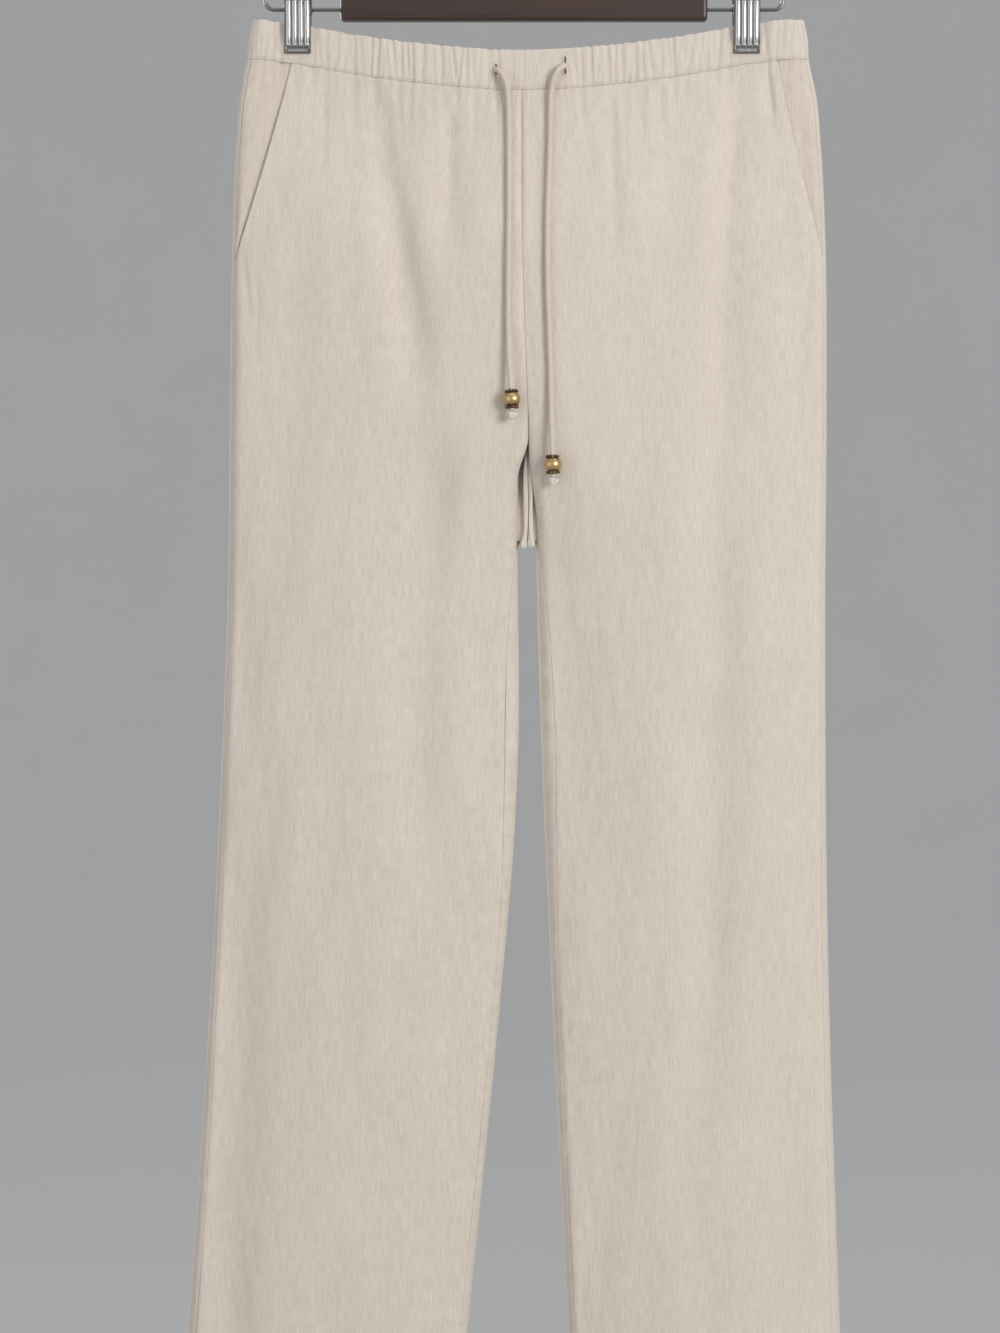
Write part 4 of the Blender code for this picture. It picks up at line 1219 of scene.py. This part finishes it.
def brass(name, light, dark):
    """Antique brass, dark in its recesses and rubbed bright on its belly."""
    made = Finish(name, light, dark, 0.34, 1.0)
    spots = made.noise(made.in_object(), (420.0, 420.0, 420.0), 4.0)
    wear_and_painted_light = made.combine("ADD", made.wear_and_painted_light(), made.spread(spots, 0.3, 0.7, -0.32, 0.32))
    made.colour(made.spread(wear_and_painted_light, 0.05, 0.9, 0.0, 1.0))
    made.roughen(wear_and_painted_light, 0.0, 1.0, 0.55, 0.38)
    made.bump(spots, 0.25, 0.0002)
    return made.material


def dark_wood(name, light, dark):
    """Dark stained wood with a satin lacquer, its grain along the bar."""
    made = Finish(name, light, dark, 0.42, Coat_Weight=0.25, Coat_Roughness=0.3)
    grain = made.noise(made.in_object(), (9.0, 260.0, 420.0), 4.0)
    figure = made.noise(made.in_object(), (4.0, 40.0, 60.0), 3.0)
    made.colour(made.spread(made.weighted((grain, 0.6), (figure, 0.4)), 0.36, 0.64, 0.0, 1.0))
    made.roughen(grain, 0.3, 0.7, 0.5, 0.36)
    made.bump(grain, 0.25, 0.0003)
    return made.material


def steel(name, light, dark, roughness, painted_rib_light=False):
    """Nickel plate with fine drawn marks. Where asked, ribs are painted bright as highlights and the
    grooves and plate dark as painted shade.
    """
    made = Finish(name, light, dark, roughness, 1.0)
    marks = made.noise(made.in_object(), (900.0, 900.0, 60.0), 3.0)
    factor = made.spread(marks, 0.3, 0.7, 0.82, 1.0)
    # Painted light: the clip's ribs and lip bar bright as highlights, its grooves and plate dark as
    # painted shade and painted reflection.
    if painted_rib_light:
        factor = made.combine("MULTIPLY", factor, made.spread(made.wear_and_painted_light(), 0.15, 0.7, 0.25, 1.0))
    made.colour(factor)
    made.roughen(marks, 0.3, 0.7, roughness - 0.05, roughness + 0.08)
    made.bump(marks, 0.05, 0.00005)
    return made.material


def plain_paint(name, colour):
    made = Finish(name, tuple(channel * 0.97 for channel in colour), colour, 0.9)
    made.colour(made.noise(made.in_object(), (3.0, 3.0, 3.0), 2.0))
    return made.material


LINEN = linen("linen", (0.722, 0.643, 0.563), (0.602, 0.530, 0.452), 0.0)
# The crotch extensions' linen, painted lighter than the panels' as a stand-in for the light that
# reaches into the fork.
LINEN_PAINTED_LIGHTER = linen("linen_painted_lighter", (0.76, 0.69, 0.615), (0.64, 0.57, 0.50), 2.0)
# The pocket facing's linen, painted a little darker than the panels' as shade under the pocket edge.
LINEN_FACING_PAINTED_DARKER = linen("linen_facing", (0.70, 0.62, 0.535), (0.575, 0.50, 0.42), 1.0)
# The cord's linen, painted a little darker than the panels' as shade, so that it looks no brighter
# than the cloth under the lamps.
CORD_PAINTED_DARKER = thread_cloth("cord_cloth", (0.68, 0.60, 0.52), (0.57, 0.50, 0.42), (900.0, 500.0, 300.0), 0.3)
# The knot's cloth: the cord's linen painted lighter, as a painted highlight.
KNOT_PAINTED_LIGHTER = thread_cloth("knot_cloth_painted_lighter", (0.74, 0.68, 0.61), (0.66, 0.60, 0.53),
                          (400.0, 400.0, 300.0), 0.25)
THREAD = thread_cloth("thread", (0.72, 0.64, 0.56), (0.60, 0.53, 0.45), (900.0, 900.0, 900.0), 0.3)
BRASS = brass("antique_brass", (0.64, 0.455, 0.225), (0.085, 0.055, 0.026))
WOOD = dark_wood("dark_wood", (0.058, 0.029, 0.020), (0.024, 0.011, 0.008))
# The clips' steel, painted bright on the ribs and dark in the grooves and plate, as highlights and
# shade.
CLIP_STEEL_PAINTED_LIGHT = steel("clip_steel_painted_light", (0.62, 0.61, 0.60), (0.07, 0.07, 0.07), 0.36, painted_rib_light=True)
# The wire hook and loops: plated steel painted dark, as painted reflection of dark surroundings.
WIRE_STEEL_PAINTED_DARK = steel("wire_steel_painted_dark", (0.20, 0.20, 0.20), (0.13, 0.13, 0.13), 0.36)
DARK_STEEL = steel("spring_steel", (0.30, 0.30, 0.31), (0.12, 0.12, 0.12), 0.32)


# ---------------------------------------------------------------- the scene


def repaint(node, finish):
    """Gives a CAD node a better material."""
    for material_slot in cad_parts[node].material_slots:
        material_slot.material = finish


def add_stage():
    """A plain pale floor that curves up into a plain backdrop all round."""
    floor_z, flat = cad_box[0][2] - FLOOR_BELOW_HEM, BACKDROP_RADIUS - BACKDROP_BEND
    profile = [(2.0, floor_z), (flat, floor_z)]
    for angle in np.radians(np.linspace(-90, 0, 17)[1:]):
        out, up = BACKDROP_BEND * math.cos(angle), BACKDROP_BEND * (1 + math.sin(angle))
        profile.append((flat + out, floor_z + up))
    profile.append((BACKDROP_RADIUS, BACKDROP_TOP))
    around = circle(96)
    verts = [columns_of(r * np.cos(around), r * np.sin(around), z) for r, z in profile]
    faces = ring_faces(len(profile), len(around)) + [tuple(range(len(around)))]
    paint = plain_paint("backdrop", BACKDROP_COLOUR)
    backdrop = add_object("backdrop", make_mesh("backdrop", np.concatenate(verts), faces, paint))
    backdrop.visible_diffuse = False
    backdrop.visible_glossy = False


def add_lights(object_parts):
    for light in LIGHTS:
        data = bpy.data.lights.new(light.name, "AREA")
        data.shape = "RECTANGLE"
        data.size, data.size_y = light.size
        data.energy = light.power
        data.color = light.colour
        lamp = add_object(light.name, data)
        lamp.location = light.place
        way = Vector(LIGHTS_AIM_AT) - Vector(light.place)
        lamp.rotation_euler = way.to_track_quat("-Z", "Y").to_euler()
        if light.object_only:
            lamp.light_linking.receiver_collection = object_parts
    world = bpy.data.worlds.new("studio")
    world.use_nodes = True
    sky = world.node_tree.nodes["Background"]
    sky.inputs["Color"].default_value = SKY_COLOUR
    sky.inputs["Strength"].default_value = SKY_STRENGTH
    bpy.context.scene.world = world


def add_camera():
    data = bpy.data.cameras.new("camera")
    data.sensor_fit = "VERTICAL"
    data.sensor_height = SENSOR_HEIGHT
    data.lens = CAMERA_LENS
    camera = add_object("camera", data)
    camera.location = Vector(CAMERA_PLACE) * MM
    camera.rotation_euler = (math.pi / 2, 0, 0)
    bpy.context.scene.camera = camera


def main():
    bpy.context.scene.view_settings.view_transform = "Standard"
    add_camera()
    bands = {face: add_band(face) for face in FACES}
    for side, name in SIDES.items():
        add_drawstring(side)
        cut_slit(bands["front"], side)
        add_binding(side)
        add_crotch_extension(side)
        add_crotch_allowance(side)
        for face, columns in (("front", 120), ("back", 132)):
            panel = add_panel(side, face, columns)
        facing = add_pocket_facing(side)
        for face in FACES:
            add_jaw(side, face)
        add_spring(side)
        repaint(f"hanger_loop_{name}", WIRE_STEEL_PAINTED_DARK)
    for side in SIDES:
        for face in FACES:
            add_hem_stitches(side, face)
    for face in FACES:
        add_band_stitches(face)
    repaint("hanger_bar", WOOD)
    repaint("hanger_hook", WIRE_STEEL_PAINTED_DARK)
    object_parts = bpy.data.collections.new("object_parts")
    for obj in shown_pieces():
        object_parts.objects.link(obj)
    add_stage()
    add_lights(object_parts)


main()
